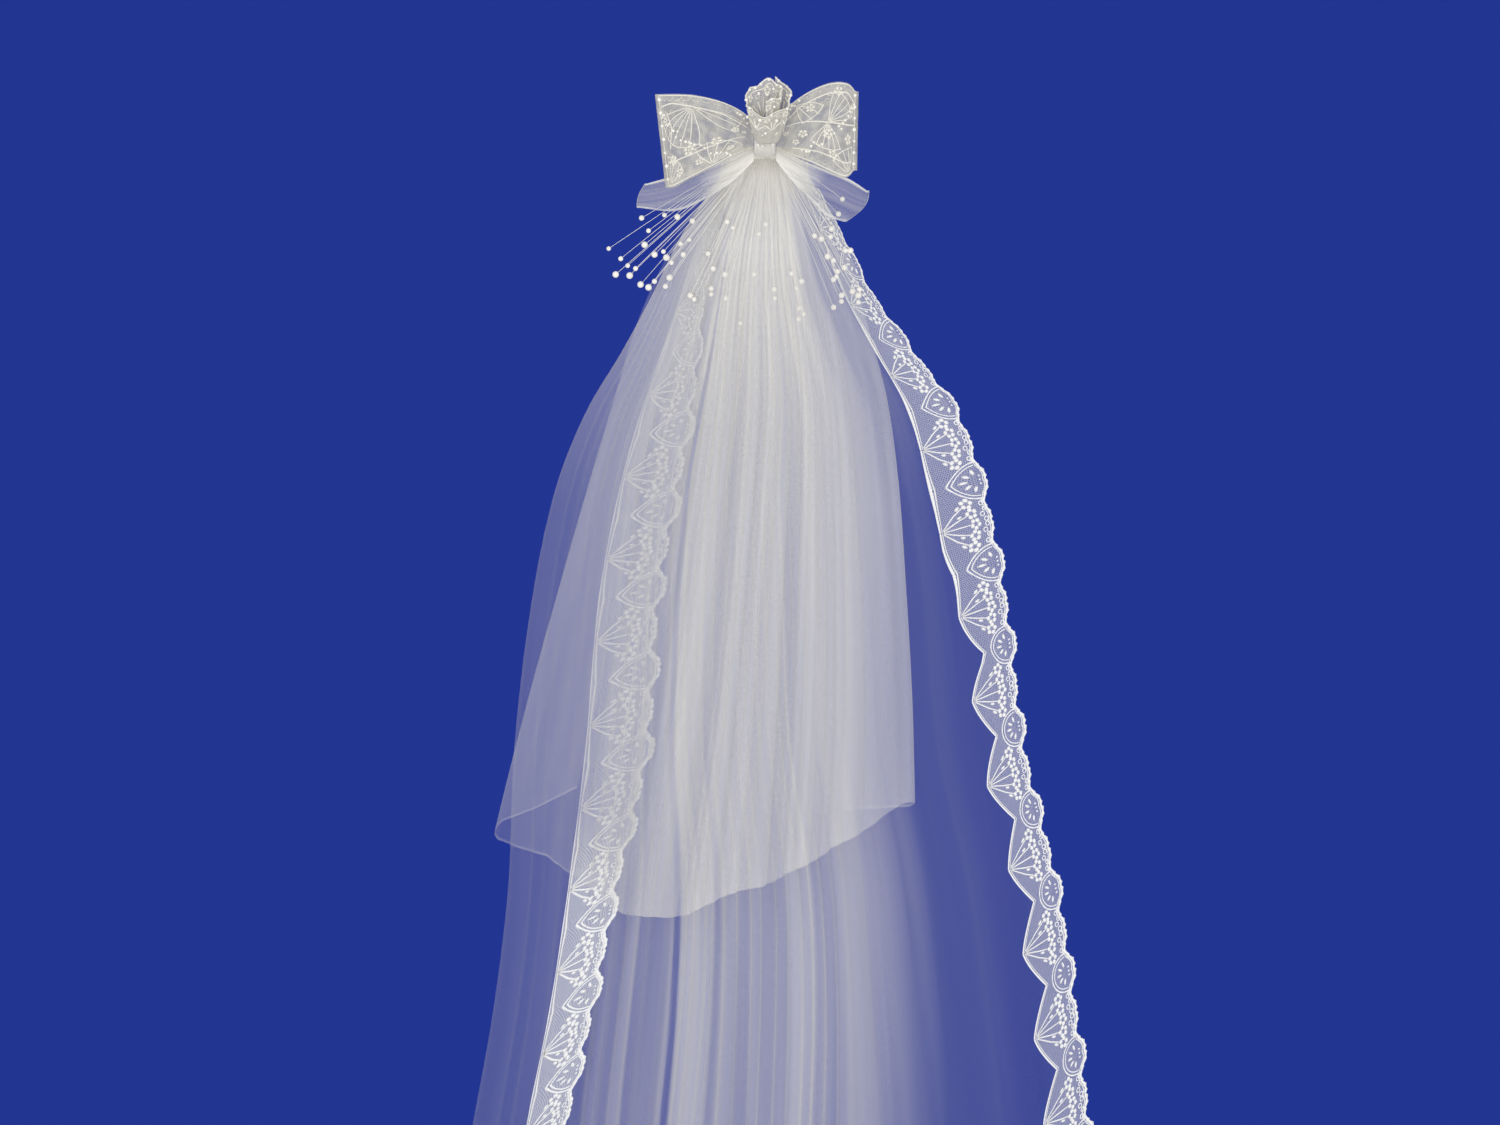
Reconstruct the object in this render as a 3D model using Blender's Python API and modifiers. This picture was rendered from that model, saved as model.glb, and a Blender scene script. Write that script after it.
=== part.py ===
"""Two-tier bridal veil on a hair comb, hanging as worn, with a lace bow and pearl sprays.

Metres, +Z up. The origin is the middle of the comb's spine, where hair holds the veil.
The veil hangs towards -Z and its front faces -Y.
"""

import math
from typing import NamedTuple

import bmesh
import bpy
from mathutils import Vector

COLLECTION = "bridal_veil"

# Walls and gaps
TULLE_WALL = 0.0010
LACE_WALL = 0.0012
BOW_WALL = 0.0015
LACE_STANDOFF = 0.0017

# Lace edging: one repeat holds a large and a small scallop outside, a notch and a tip inside
LACE_REPEAT = 0.084
LACE_STRIP = 0.050
LACE_START = 0.038
ROWS_PER_REPEAT = 4
LARGE_LOBE = 0.22
SMALL_LOBE = 0.12
LACE_NOTCH = 0.68
LACE_ACROSS = (0.30, 0.65, 1.00)
LEFT_STRIP_SHARE = 0.54
RIGHT_STRIP_SHARE = 0.12
HEM_LACE_SETBACK = 0.12
SIDEWAYS_STEP = 0.25
MITRE_LIMIT = 0.5


class Rail(NamedTuple):
    """A level section of a tier at one drop below the gather."""

    drop: float
    left_edge: float
    left_fold: float
    right_fold: float
    right_edge: float
    main_y: float
    turned_y: float
    swing: float


class Fold(NamedTuple):
    """One pleat: its share of the cloth, and how far the cloth swings from the level line."""

    share: float
    swing_deg: float


class HemPoint(NamedTuple):
    """The hem's drop at a share of the cloth's width, from the left edge."""

    across: float
    drop: float


class Station(NamedTuple):
    """A rib of a bow or tulle loop, from the knot outwards."""

    top_x: float
    top_z: float
    low_x: float
    low_z: float
    belly: float


class StemGroup(NamedTuple):
    """A fan of pearl stems: angles from straight down, positive to the right."""

    from_deg: float
    to_deg: float
    reach_low: float
    reach_high: float
    count: int


class StemDepth(NamedTuple):
    """Where the layer of pearl stems lies, front to back, at a drop."""

    drop: float
    y: float


LONG_RAILS = (
    #    drop    left_edge  left_fold  right_fold right_edge main_y   turned_y swing
    Rail(0.000, -0.0262, -0.0300, 0.0300, 0.0300, -0.0024, -0.0056, 0.50),
    Rail(0.030, -0.0375, -0.0480, 0.0470, 0.0470, -0.0028, -0.0082, 0.60),
    Rail(0.060, -0.0430, -0.0680, 0.0640, 0.0640, -0.0026, -0.0104, 0.70),
    Rail(0.092, -0.0520, -0.0880, 0.0800, 0.0800, -0.0015, -0.0116, 0.78),
    Rail(0.142, -0.0630, -0.1120, 0.1050, 0.1050, 0.0010, -0.0120, 0.86),
    Rail(0.200, -0.0710, -0.1430, 0.1450, 0.1450, 0.0040, -0.0116, 0.92),
    Rail(0.262, -0.0800, -0.1800, 0.1890, 0.1890, 0.0080, -0.0106, 0.96),
    Rail(0.340, -0.0950, -0.2110, 0.2160, 0.2160, 0.0130, -0.0088, 1.00),
    Rail(0.452, -0.1150, -0.2350, 0.2380, 0.2380, 0.0180, -0.0080, 1.00),
    Rail(0.602, -0.1260, -0.2530, 0.2570, 0.2570, 0.0230, -0.0074, 1.00),
    Rail(0.740, -0.1550, -0.2590, 0.2900, 0.2900, 0.0260, -0.0070, 1.00),
    Rail(0.865, -0.1790, -0.2740, 0.3090, 0.3090, 0.0280, -0.0070, 1.00),
    Rail(0.977, -0.2040, -0.2940, 0.3220, 0.3220, 0.0290, -0.0070, 1.00),
    Rail(1.370, -0.2780, -0.3640, 0.3580, 0.3580, 0.0300, -0.0070, 1.00),
)
LONG_FOLDS = (
    Fold(1.0, 66.0),
    Fold(1.5, 70.0),
    Fold(0.7, 62.0),
    Fold(1.2, 72.0),
    Fold(0.8, 66.0),
    Fold(1.4, 70.0),
    Fold(1.0, 74.0),
    Fold(0.7, 66.0),
    Fold(1.3, 72.0),
    Fold(0.9, 70.0),
    Fold(1.2, 72.0),
    Fold(0.8, 68.0),
    Fold(1.1, 66.0),
    Fold(1.2, 54.0),
    Fold(1.5, 30.0),
    Fold(2.4, 16.0),
)
LONG_HEM = (
    HemPoint(0.00, 1.250),
    HemPoint(0.05, 1.305),
    HemPoint(0.10, 1.345),
    HemPoint(0.17, 1.370),
    HemPoint(0.86, 1.370),
    HemPoint(0.92, 1.345),
    HemPoint(0.96, 1.305),
    HemPoint(1.00, 1.250),
)
LONG_LEVELS = (0.0, 0.022, 0.05, 0.085, 0.13, 0.185, 0.25, 0.33, 0.43, 0.55, 0.68, 0.81, 0.91, 1.0)

SHORT_RAILS = (
    #    drop    left_edge  left_fold  right_fold right_edge main_y   turned_y swing
    Rail(0.000, -0.0230, -0.0300, 0.0300, 0.0230, -0.0126, -0.0096, 0.50),
    Rail(0.030, -0.0340, -0.0480, 0.0470, 0.0340, -0.0187, -0.0153, 0.60),
    Rail(0.063, -0.0500, -0.0750, 0.0670, 0.0450, -0.0233, -0.0195, 0.72),
    Rail(0.100, -0.0660, -0.0950, 0.0820, 0.0540, -0.0263, -0.0223, 0.80),
    Rail(0.139, -0.0800, -0.1140, 0.0930, 0.0600, -0.0277, -0.0233, 0.86),
    Rail(0.182, -0.0920, -0.1310, 0.1050, 0.0660, -0.0277, -0.0227, 0.92),
    Rail(0.252, -0.1080, -0.1520, 0.1230, 0.0720, -0.0275, -0.0215, 0.96),
    Rail(0.332, -0.1250, -0.1760, 0.1340, 0.0770, -0.0275, -0.0205, 1.00),
    Rail(0.412, -0.1410, -0.1990, 0.1400, 0.0790, -0.0280, -0.0200, 1.00),
    Rail(0.552, -0.1680, -0.2380, 0.1480, 0.0800, -0.0290, -0.0195, 1.00),
    Rail(0.683, -0.1980, -0.2710, 0.1510, 0.0760, -0.0300, -0.0195, 1.00),
    Rail(0.775, -0.2150, -0.2900, 0.1520, 0.0740, -0.0305, -0.0195, 1.00),
)
SHORT_FOLDS = (
    Fold(1.7, 48.0),
    Fold(1.0, 62.0),
    Fold(1.4, 66.0),
    Fold(0.7, 64.0),
    Fold(1.1, 70.0),
    Fold(0.8, 68.0),
    Fold(1.2, 72.0),
    Fold(0.7, 66.0),
    Fold(1.0, 70.0),
    Fold(0.8, 72.0),
    Fold(1.3, 70.0),
    Fold(0.7, 64.0),
    Fold(1.0, 68.0),
    Fold(0.8, 62.0),
    Fold(1.3, 58.0),
    Fold(1.6, 44.0),
)
SHORT_HEM = (
    HemPoint(0.00, 0.641),
    HemPoint(0.07, 0.683),
    HemPoint(0.19, 0.722),
    HemPoint(0.30, 0.762),
    HemPoint(0.41, 0.770),
    HemPoint(0.50, 0.766),
    HemPoint(0.57, 0.750),
    HemPoint(0.66, 0.738),
    HemPoint(0.80, 0.709),
    HemPoint(0.88, 0.683),
    HemPoint(0.93, 0.656),
    HemPoint(1.00, 0.663),
)
SHORT_LEVELS = (0.0, 0.035, 0.08, 0.14, 0.22, 0.34, 0.48, 0.64, 0.82, 1.0)

COLUMNS_PER_FOLD = 5
STEPS_PER_COLUMN = 6
TURN_COLUMNS = 4
STRIP_COLUMNS = 3
RETURN_COLUMNS = 2

BOW_Y = -0.0565
BOW_LEFT = (
    #       top_x    top_z    low_x    low_z   belly
    Station(-0.0112, 0.0260, -0.0112, 0.0000, 0.0030),
    Station(-0.0250, 0.0370, -0.0260, -0.0060, 0.0065),
    Station(-0.0450, 0.0460, -0.0500, -0.0180, 0.0095),
    Station(-0.0720, 0.0520, -0.0750, -0.0310, 0.0105),
    Station(-0.0950, 0.0530, -0.0900, -0.0390, 0.0085),
    Station(-0.1070, 0.0530, -0.0965, -0.0400, 0.0045),
)
BOW_RIGHT = (
    Station(0.0112, 0.0280, 0.0112, -0.0020, 0.0030),
    Station(0.0270, 0.0440, 0.0270, -0.0080, 0.0065),
    Station(0.0450, 0.0560, 0.0450, -0.0150, 0.0095),
    Station(0.0650, 0.0640, 0.0640, -0.0240, 0.0105),
    Station(0.0820, 0.0640, 0.0800, -0.0300, 0.0085),
    Station(0.0905, 0.0560, 0.0890, -0.0230, 0.0045),
)
BOW_FOLD_OUT = 0.0030
BOW_RIPPLE = 0.0010
BOW_ROUND = 0.0

POUF_Y = -0.0375
POUF_LEFT = (
    Station(-0.0112, 0.0010, -0.0112, -0.0120, 0.0020),
    Station(-0.0420, -0.0120, -0.0330, -0.0330, 0.0045),
    Station(-0.0750, -0.0230, -0.0600, -0.0500, 0.0060),
    Station(-0.1000, -0.0300, -0.0900, -0.0620, 0.0060),
    Station(-0.1180, -0.0350, -0.1260, -0.0590, 0.0035),
)
POUF_RIGHT = (
    Station(0.0112, 0.0010, 0.0112, -0.0120, 0.0020),
    Station(0.0380, -0.0120, 0.0280, -0.0330, 0.0045),
    Station(0.0650, -0.0230, 0.0470, -0.0520, 0.0060),
    Station(0.0850, -0.0310, 0.0620, -0.0670, 0.0060),
    Station(0.1020, -0.0420, 0.0790, -0.0730, 0.0035),
)
POUF_FOLD_OUT = 0.0025
POUF_RIPPLE = 0.0008
POUF_ROUND_LEFT = 0.0025
POUF_ROUND_RIGHT = 0.0070

LOOP_RIBS = 8
LOOP_ROWS = 5
LOOP_WAVES = 2

CURL_CENTRE = Vector((0.0010, -0.0760, 0.0))
CURL_TURNS = 1.45
CURL_START_DEG = 70.0
CURL_STEPS = 28
CURL_ROWS = 4
CURL_MOUTH_RADIUS = 0.0260
CURL_FOOT_RADIUS = 0.0110
CURL_FLARE = 0.55
CURL_FLAT = 0.50
CURL_SHRINK = 0.50
CURL_INNER_DROP = 0.25
CURL_FOOT_Z = 0.0030
CURL_BACK_Z = 0.0710
CURL_FRONT_Z = 0.0300
CURL_INNER_FROM = 0.60
CURL_INNER_RISE = 0.0160

KNOT_CENTRE = Vector((0.0000, -0.0417, 0.0035))
KNOT_SIZE = Vector((0.0216, 0.0546, 0.0250))
KNOT_ROUND = 0.0070
KNOT_ROUND_STEPS = 3

STEM_SIDE = 0.0007
STEM_LAYER = 0.0013
STEM_GROUPS_LEFT = (
    StemGroup(-58.0, -38.0, 0.116, 0.186, 13),
    StemGroup(-25.0, -4.0, 0.112, 0.176, 8),
)
STEM_GROUPS_RIGHT = (
    StemGroup(3.0, 17.0, 0.118, 0.170, 6),
    StemGroup(24.0, 45.0, 0.108, 0.180, 10),
    StemGroup(50.0, 59.0, 0.088, 0.098, 2),
)
STEM_DEPTHS = (
    StemDepth(0.008, -0.0084),
    StemDepth(0.014, -0.0096),
    StemDepth(0.018, -0.0101),
    StemDepth(0.030, -0.0118),
    StemDepth(0.060, -0.0147),
    StemDepth(0.100, -0.0169),
    StemDepth(0.140, -0.0176),
)
GOLDEN = 0.618
REACH_START = 0.31
STEM_RINGS = (0.07, 0.50)
PEARL_HALF_LONG = 0.0026
PEARL_HALF_WIDE = 0.0020
ROOT_INSET = 0.0002
BAR_DEPTH = 0.0072
BAR_TALL = 0.0060
BAR_Z = -0.0055
BAR_Y = -0.0080
BAR_HALF_GAP = 0.0004
BAR_LONG = 0.0190

COMB_HALF = 0.0450
COMB_DEPTH = 0.0030
COMB_SPINE_TOP = 0.0040
COMB_SPINE_LOW = -0.0040
COMB_TEETH = 20
COMB_TOOTH_WIDE = 0.0020
COMB_TOOTH_TIP = -0.0480
COMB_TIP_SHARE = 0.6
SHARP_DEG = 50.0


def clear_scene():
    """Remove the objects of whatever scene the script runs in."""
    for old in list(bpy.data.objects):
        bpy.data.objects.remove(old, do_unlink=True)


def material(name, colour, roughness, alpha=1.0):
    """A Principled material with a plain colour."""
    made = bpy.data.materials.new(name)
    made.use_nodes = True
    shader = made.node_tree.nodes["Principled BSDF"]
    shader.inputs["Base Color"].default_value = (*colour, 1.0)
    shader.inputs["Roughness"].default_value = roughness
    shader.inputs["Metallic"].default_value = 0.0
    shader.inputs["Alpha"].default_value = alpha
    return made


def curve_at(places, values, place):
    """Read a smooth curve through a few values at rising places."""
    if place <= places[0]:
        return values[0]
    if place >= places[-1]:
        return values[-1]
    k = max(i for i in range(len(places) - 1) if places[i] <= place)
    span = places[k + 1] - places[k]

    def slope(i):
        low = max(i - 1, 0)
        high = min(i + 1, len(places) - 1)
        return (values[high] - values[low]) / (places[high] - places[low])

    t = (place - places[k]) / span
    ease_in = t * t * t - 2 * t * t + t
    ease_out = t * t * t - t * t
    blend = t * t * (3 - 2 * t)
    bend = span * (slope(k) * ease_in + slope(k + 1) * ease_out)
    return values[k] + blend * (values[k + 1] - values[k]) + bend


def read_table(table, key, place):
    """Read every column of a table of named rows at one place of its key column."""
    kind = type(table[0])
    places = [getattr(row, key) for row in table]
    columns = (curve_at(places, [getattr(row, c) for row in table], place) for c in kind._fields)
    return kind(*columns)


def pleats(folds, swing):
    """Walk along a row of pleats of unit cloth, and give the level points of its columns.

    Each pleat starts and ends in a trough, and its crest comes forward, towards -Y.
    """
    x = 0.0
    y = 0.0
    points = [(x, y)]
    steps = COLUMNS_PER_FOLD * STEPS_PER_COLUMN
    for fold in folds:
        stride = fold.share / steps
        for step in range(steps):
            phase = 2 * math.pi * (step + 0.5) / steps
            heading = math.radians(fold.swing_deg) * swing * math.sin(phase)
            x += stride * math.cos(heading)
            y -= stride * math.sin(heading)
            if (step + 1) % STEPS_PER_COLUMN == 0:
                points.append((x, y))
    return points


def half_turn(centre_x, front_y, back_y, side):
    """The round fold where a tier turns back on itself, from its front to its back."""
    radius = (back_y - front_y) / 2
    middle = (back_y + front_y) / 2
    points = []
    for k in range(1, TURN_COLUMNS):
        angle = math.pi * (k / TURN_COLUMNS - 0.5)
        points.append((centre_x + side * radius * math.cos(angle), middle + radius * math.sin(angle)))
    return points


def spread(start, end, count):
    """Evenly spaced values after start, up to and with end."""
    return [start + (end - start) * (k + 1) / count for k in range(count)]


def tier_section(rail, folds, right_strip):
    """The level (x, y) points of every column of a tier at one drop."""
    turned_front = rail.turned_y < rail.main_y
    radius = abs(rail.main_y - rail.turned_y) / 2
    front_y = min(rail.main_y, rail.turned_y)
    back_y = max(rail.main_y, rail.turned_y)

    inner_left = rail.left_fold + radius
    strip_end = rail.left_edge + LEFT_STRIP_SHARE * (inner_left - rail.left_edge)
    points = [(rail.left_edge, rail.turned_y)]
    points += [(x, rail.turned_y) for x in spread(rail.left_edge, strip_end, STRIP_COLUMNS)]
    points += [(x, rail.turned_y) for x in spread(strip_end, inner_left, RETURN_COLUMNS)]
    turn = half_turn(inner_left, front_y, back_y, -1)
    points += turn if turned_front else turn[::-1]

    has_return = rail.right_edge != rail.right_fold
    inner_right = rail.right_fold - (radius if has_return else right_strip)
    row = pleats(folds, rail.swing)
    scale = (inner_right - inner_left) / row[-1][0]
    points += [(inner_left + x * scale, rail.main_y + y * scale) for x, y in row]
    if has_return:
        points += half_turn(inner_right, front_y, back_y, 1)
        points.append((inner_right, rail.turned_y))
        points += [(x, rail.turned_y) for x in spread(inner_right, rail.right_edge, RETURN_COLUMNS)]
    else:
        points += [(x, rail.main_y) for x in spread(inner_right, rail.right_edge, STRIP_COLUMNS)]
    return points


def tier_grid(rails, folds, hem, levels):
    """Columns of points for a tier, each a list from the gather down to the hem."""
    count = len(tier_section(rails[0], folds, 0.0))
    columns = []
    for i in range(count):
        end = read_table(hem, "across", i / (count - 1)).drop
        column = []
        for level in levels:
            drop = level * end
            rail = read_table(rails, "drop", drop)
            right_strip = min(LACE_STRIP, RIGHT_STRIP_SHARE * (rail.right_fold - rail.left_fold))
            x, y = tier_section(rail, folds, right_strip)[i]
            column.append(Vector((x, y, -drop)))
        columns.append(column)
    return columns


def sheet_mesh(name, columns):
    """An open grid mesh whose points are moved to the given columns."""
    across = len(columns) - 1
    down = len(columns[0]) - 1
    grid = bmesh.new()
    bmesh.ops.create_grid(grid, x_segments=across, y_segments=down, size=1.0)
    grid.verts.ensure_lookup_table()
    for j in range(down + 1):
        for i in range(across + 1):
            grid.verts[j * (across + 1) + i].co = columns[i][j]
    mesh = bpy.data.meshes.new(name)
    grid.to_mesh(mesh)
    grid.free()
    return mesh


def add_object(name, mesh, finish, collection):
    """A smooth-shaded object of the mesh, in the collection."""
    mesh.shade_smooth()
    mesh.set_sharp_from_angle(angle=math.radians(SHARP_DEG))
    made = bpy.data.objects.new(name, mesh)
    made.data.materials.append(finish)
    collection.objects.link(made)
    return made


def add_wall(name, columns, wall, finish, collection):
    """A sheet with a wall's thickness, half to each side of its points."""
    made = add_object(name, sheet_mesh(name, columns), finish, collection)
    thick = made.modifiers.new("wall", "SOLIDIFY")
    thick.thickness = wall
    thick.offset = 0.0
    thick.use_even_offset = True
    return made


def lerp_column(columns, place, level_place):
    """A point of a coarse grid between its columns and rows, past its edges too."""
    i = min(max(int(math.floor(place)), 0), len(columns) - 2)
    j = min(max(int(math.floor(level_place)), 0), len(columns[0]) - 2)
    a = place - i
    b = level_place - j
    top = columns[i][j].lerp(columns[i + 1][j], a)
    low = columns[i][j + 1].lerp(columns[i + 1][j + 1], a)
    return top.lerp(low, b)


def stand_off(columns, place, level_place):
    """The step from a tier's middle to the lace's, on the cloth's right side.

    The right side is the front of the main panel. At a crease between two columns the step is
    longer, so that the lace clears both of the flat stretches that meet there.
    """
    middle = lerp_column(columns, place, level_place)
    below = lerp_column(columns, place, level_place + SIDEWAYS_STEP)
    down = below - lerp_column(columns, place, level_place - SIDEWAYS_STEP)
    before = down.cross(middle - lerp_column(columns, place - SIDEWAYS_STEP, level_place)).normalized()
    after = down.cross(lerp_column(columns, place + SIDEWAYS_STEP, level_place) - middle).normalized()
    normal = (before + after).normalized()
    return normal * (LACE_STANDOFF / max(MITRE_LIMIT, normal.dot(before)))


def level_place_of(levels, level):
    """Where a share of the drop falls, counted in rows."""
    k = max(i for i in range(len(levels) - 1) if levels[i] <= level)
    return k + (level - levels[k]) / (levels[k + 1] - levels[k])


def scallop(phase):
    """How far the outer edge stands out, as a share of the strip: one large and one small lobe."""
    large = LARGE_LOBE * max(0.0, math.cos(2 * math.pi * phase))
    small = SMALL_LOBE * max(0.0, -math.cos(2 * math.pi * phase))
    return large + small


def lace_depth(phase):
    """How far in the lace reaches, as a share of the strip: a notch at the large lobe, then a tip."""
    return LACE_NOTCH + (1 - LACE_NOTCH) * (0.5 - 0.5 * math.cos(2 * math.pi * phase))


def edge_level(column, levels, length):
    """The level at which a tier's edge column has run a length, from the gather down."""
    run = 0.0
    for k in range(len(column) - 1):
        stretch = (column[k + 1] - column[k]).length
        if run + stretch >= length:
            return levels[k] + (levels[k + 1] - levels[k]) * (length - run) / stretch
        run += stretch
    return levels[-1]


def side_lace(columns, levels, first, inward):
    """Columns of points of a side edging, laid on the strip of a tier's own points.

    first is the tier's edge column, and inward is +1 or -1 towards the cloth.
    """
    edge = columns[first]
    whole = sum((q - p).length for p, q in zip(edge, edge[1:]))
    rows = ROWS_PER_REPEAT * round((whole - LACE_START) / LACE_REPEAT)
    lines = [[] for _ in range(len(LACE_ACROSS) + 1)]
    for k in range(rows + 1):
        length = LACE_START + (whole - LACE_START) * k / rows
        phase = k / ROWS_PER_REPEAT
        level_place = level_place_of(levels, edge_level(edge, levels, length))
        reach = STRIP_COLUMNS * lace_depth(phase)
        shares = [-STRIP_COLUMNS * scallop(phase)] + [reach * inner for inner in LACE_ACROSS]
        for line, share in zip(lines, shares):
            place = first + inward * share
            point = lerp_column(columns, place, level_place)
            inside = min(max(place, 0.5), len(columns) - 1.5)
            line.append(point + stand_off(columns, inside, level_place))
    return lines


def hem_lace(columns):
    """Columns of points of the hem's edging, laid on the tier's own columns between the sides."""
    last_row = len(columns[0]) - 1
    lines = []
    first = STRIP_COLUMNS
    last = len(columns) - 1 - STRIP_COLUMNS
    for i in range(first, last + 1):
        phase = (i - first) / COLUMNS_PER_FOLD
        along = (columns[i][last_row] - columns[i][last_row - 1]).length
        reach = LACE_STRIP * lace_depth(phase) / along
        out = LACE_STRIP * scallop(phase) / along
        place = min(max(i, 0.5), len(columns) - 1.5)
        line = []
        for share in (-reach, -reach / 2, 0.0, out):
            level_place = last_row + share
            point = lerp_column(columns, i, level_place)
            line.append(point + stand_off(columns, place, level_place))
        lines.append(line)
    lines[0] = [p.lerp(q, HEM_LACE_SETBACK) for p, q in zip(lines[0], lines[1])]
    lines[-1] = [p.lerp(q, HEM_LACE_SETBACK) for p, q in zip(lines[-1], lines[-2])]
    return lines


def loop_columns(stations, middle_y, fold_out, side, ripple, rounding):
    """Columns of a hollow loop: out along its front, round the outer fold and back behind.

    rounding is how far the middle of the outer end bulges past its corners.
    """
    ribs = len(stations)
    places = list(range(ribs))
    samples = [(ribs - 1) * k / LOOP_RIBS for k in range(LOOP_RIBS + 1)]

    def rib(place, face):
        row = [curve_at(places, [getattr(s, c) for s in stations], place) for c in Station._fields]
        station = Station(*row)
        bulge = side * rounding * max(0.0, place - (ribs - 2)) ** 2
        points = []
        for j in range(LOOP_ROWS + 1):
            share = j / LOOP_ROWS
            x = station.top_x + (station.low_x - station.top_x) * share
            z = station.top_z + (station.low_z - station.top_z) * share
            wave = ripple * math.sin(2 * math.pi * LOOP_WAVES * share) * min(1.0, place)
            x += bulge * math.sin(math.pi * share)
            points.append(Vector((x, middle_y + face * station.belly + wave, z)))
        return points

    front = [rib(place, -1) for place in samples]
    back = [rib(place, 1) for place in reversed(samples)]
    outer = []
    for a, b in zip(front[-1], back[0]):
        outer.append((a + b) / 2 + Vector((side * fold_out, 0.0, 0.0)))
    return front + [outer] + back


def curl_columns():
    """Columns of the standing lace curl: a strip rolled inwards, high behind and low in front."""
    lines = []
    for k in range(CURL_STEPS + 1):
        share = k / CURL_STEPS
        angle = math.radians(CURL_START_DEG) - 2 * math.pi * CURL_TURNS * share
        shrink = 1 - CURL_SHRINK * share
        facing_back = 0.5 + 0.5 * math.sin(-angle - math.pi)
        rise = (CURL_BACK_Z - CURL_FRONT_Z) * facing_back * (1 - CURL_INNER_DROP * share)
        inner = max(0.0, share - CURL_INNER_FROM) / (1 - CURL_INNER_FROM)
        top_z = CURL_FRONT_Z + rise + CURL_INNER_RISE * inner
        line = []
        for j in range(CURL_ROWS + 1):
            height = 1 - j / CURL_ROWS
            flare = (CURL_MOUTH_RADIUS - CURL_FOOT_RADIUS) * height**CURL_FLARE
            radius = (CURL_FOOT_RADIUS + flare) * shrink
            x = radius * math.cos(angle)
            y = CURL_FLAT * radius * math.sin(angle)
            z = CURL_FOOT_Z + (top_z - CURL_FOOT_Z) * height
            line.append(CURL_CENTRE + Vector((x, y, z)))
        lines.append(line)
    return lines


def add_knot(finish, collection):
    """The rounded lace band round the middle of the bow, deep enough to reach the gathers."""
    block = bmesh.new()
    bmesh.ops.create_cube(block, size=1.0)
    for vert in block.verts:
        vert.co = KNOT_CENTRE + Vector(a * b for a, b in zip(vert.co, KNOT_SIZE))
    mesh = bpy.data.meshes.new("bow_knot")
    block.to_mesh(mesh)
    block.free()
    made = add_object("bow_knot", mesh, finish, collection)
    rounded = made.modifiers.new("rounded", "BEVEL")
    rounded.width = KNOT_ROUND
    rounded.segments = KNOT_ROUND_STEPS
    return made


def stem_ends(groups):
    """The angle and reach of each pearl of a spray, from the most leftward to the most rightward."""
    ends = []
    for group in groups:
        for k in range(group.count):
            share = (k + 0.5) / group.count
            angle = math.radians(group.from_deg + (group.to_deg - group.from_deg) * share)
            jump = (k * GOLDEN + REACH_START) % 1.0
            ends.append((angle, group.reach_low + (group.reach_high - group.reach_low) * jump))
    return sorted(ends)


def stem_rings(root, angle, reach, layer):
    """The rings of one strand as (centre, half width): its stem, then the pearl at its end."""
    goal = Vector((reach * math.sin(angle), 0.0, -reach * math.cos(angle)))
    along = (goal - Vector((root.x, 0.0, root.z))).normalized()
    half = STEM_SIDE / 2

    def at(share, beyond):
        point = Vector((root.x, 0.0, root.z)).lerp(goal, share) + along * beyond
        point.y = read_table(STEM_DEPTHS, "drop", -point.z).y + layer * STEM_LAYER
        return point

    stem = [(at(share, 0.0), half) for share in STEM_RINGS]
    pearl = [
        (at(1.0, -PEARL_HALF_LONG), half),
        (at(1.0, 0.0), PEARL_HALF_WIDE),
        (at(1.0, PEARL_HALF_LONG), half),
    ]
    return stem + pearl


def add_spray(name, side, groups, finish, collection):
    """A small bar with its pearl strands drawn out of its underside."""
    ends = stem_ends(groups)
    bar = bmesh.new()
    bmesh.ops.create_grid(bar, x_segments=len(ends), y_segments=2, size=1.0)
    middle_x = side * (BAR_HALF_GAP + BAR_LONG / 2)
    for vert in bar.verts:
        x = middle_x + vert.co.x * BAR_LONG / 2
        y = BAR_Y + vert.co.y * BAR_DEPTH / 2
        vert.co = Vector((x, y, BAR_Z - BAR_TALL / 2))
    raised = bmesh.ops.extrude_face_region(bar, geom=bar.faces[:])["geom"]
    lifted = [item for item in raised if isinstance(item, bmesh.types.BMVert)]
    bmesh.ops.translate(bar, vec=Vector((0.0, 0.0, BAR_TALL)), verts=lifted)
    bmesh.ops.recalc_face_normals(bar, faces=bar.faces[:])
    bottoms = [face for face in bar.faces if face.normal.z < -0.9]
    bottoms.sort(key=lambda face: face.calc_center_median().x)
    for n, (angle, reach) in enumerate(ends):
        layer = -1 if n % 2 else 1
        pair = bottoms[2 * n : 2 * n + 2]
        face = max(pair, key=lambda cell: layer * cell.calc_center_median().y)
        root = face.calc_center_median()
        bmesh.ops.inset_region(bar, faces=[face], thickness=ROOT_INSET)
        signs = [(math.copysign(1, v.co.x - root.x), math.copysign(1, v.co.y - root.y)) for v in face.verts]
        before = root
        for centre, half in stem_rings(root, angle, reach, layer):
            face = bmesh.ops.extrude_discrete_faces(bar, faces=[face])["faces"][0]
            away = centre - before
            sideways = Vector((-away.z, 0.0, away.x)).normalized()
            for vert, (sx, sy) in zip(face.verts, signs):
                vert.co = centre + sideways * sx * half + Vector((0.0, sy * half, 0.0))
            before = centre
    bmesh.ops.recalc_face_normals(bar, faces=bar.faces[:])
    mesh = bpy.data.meshes.new(name)
    bar.to_mesh(mesh)
    bar.free()
    return add_object(name, mesh, finish, collection)


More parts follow.
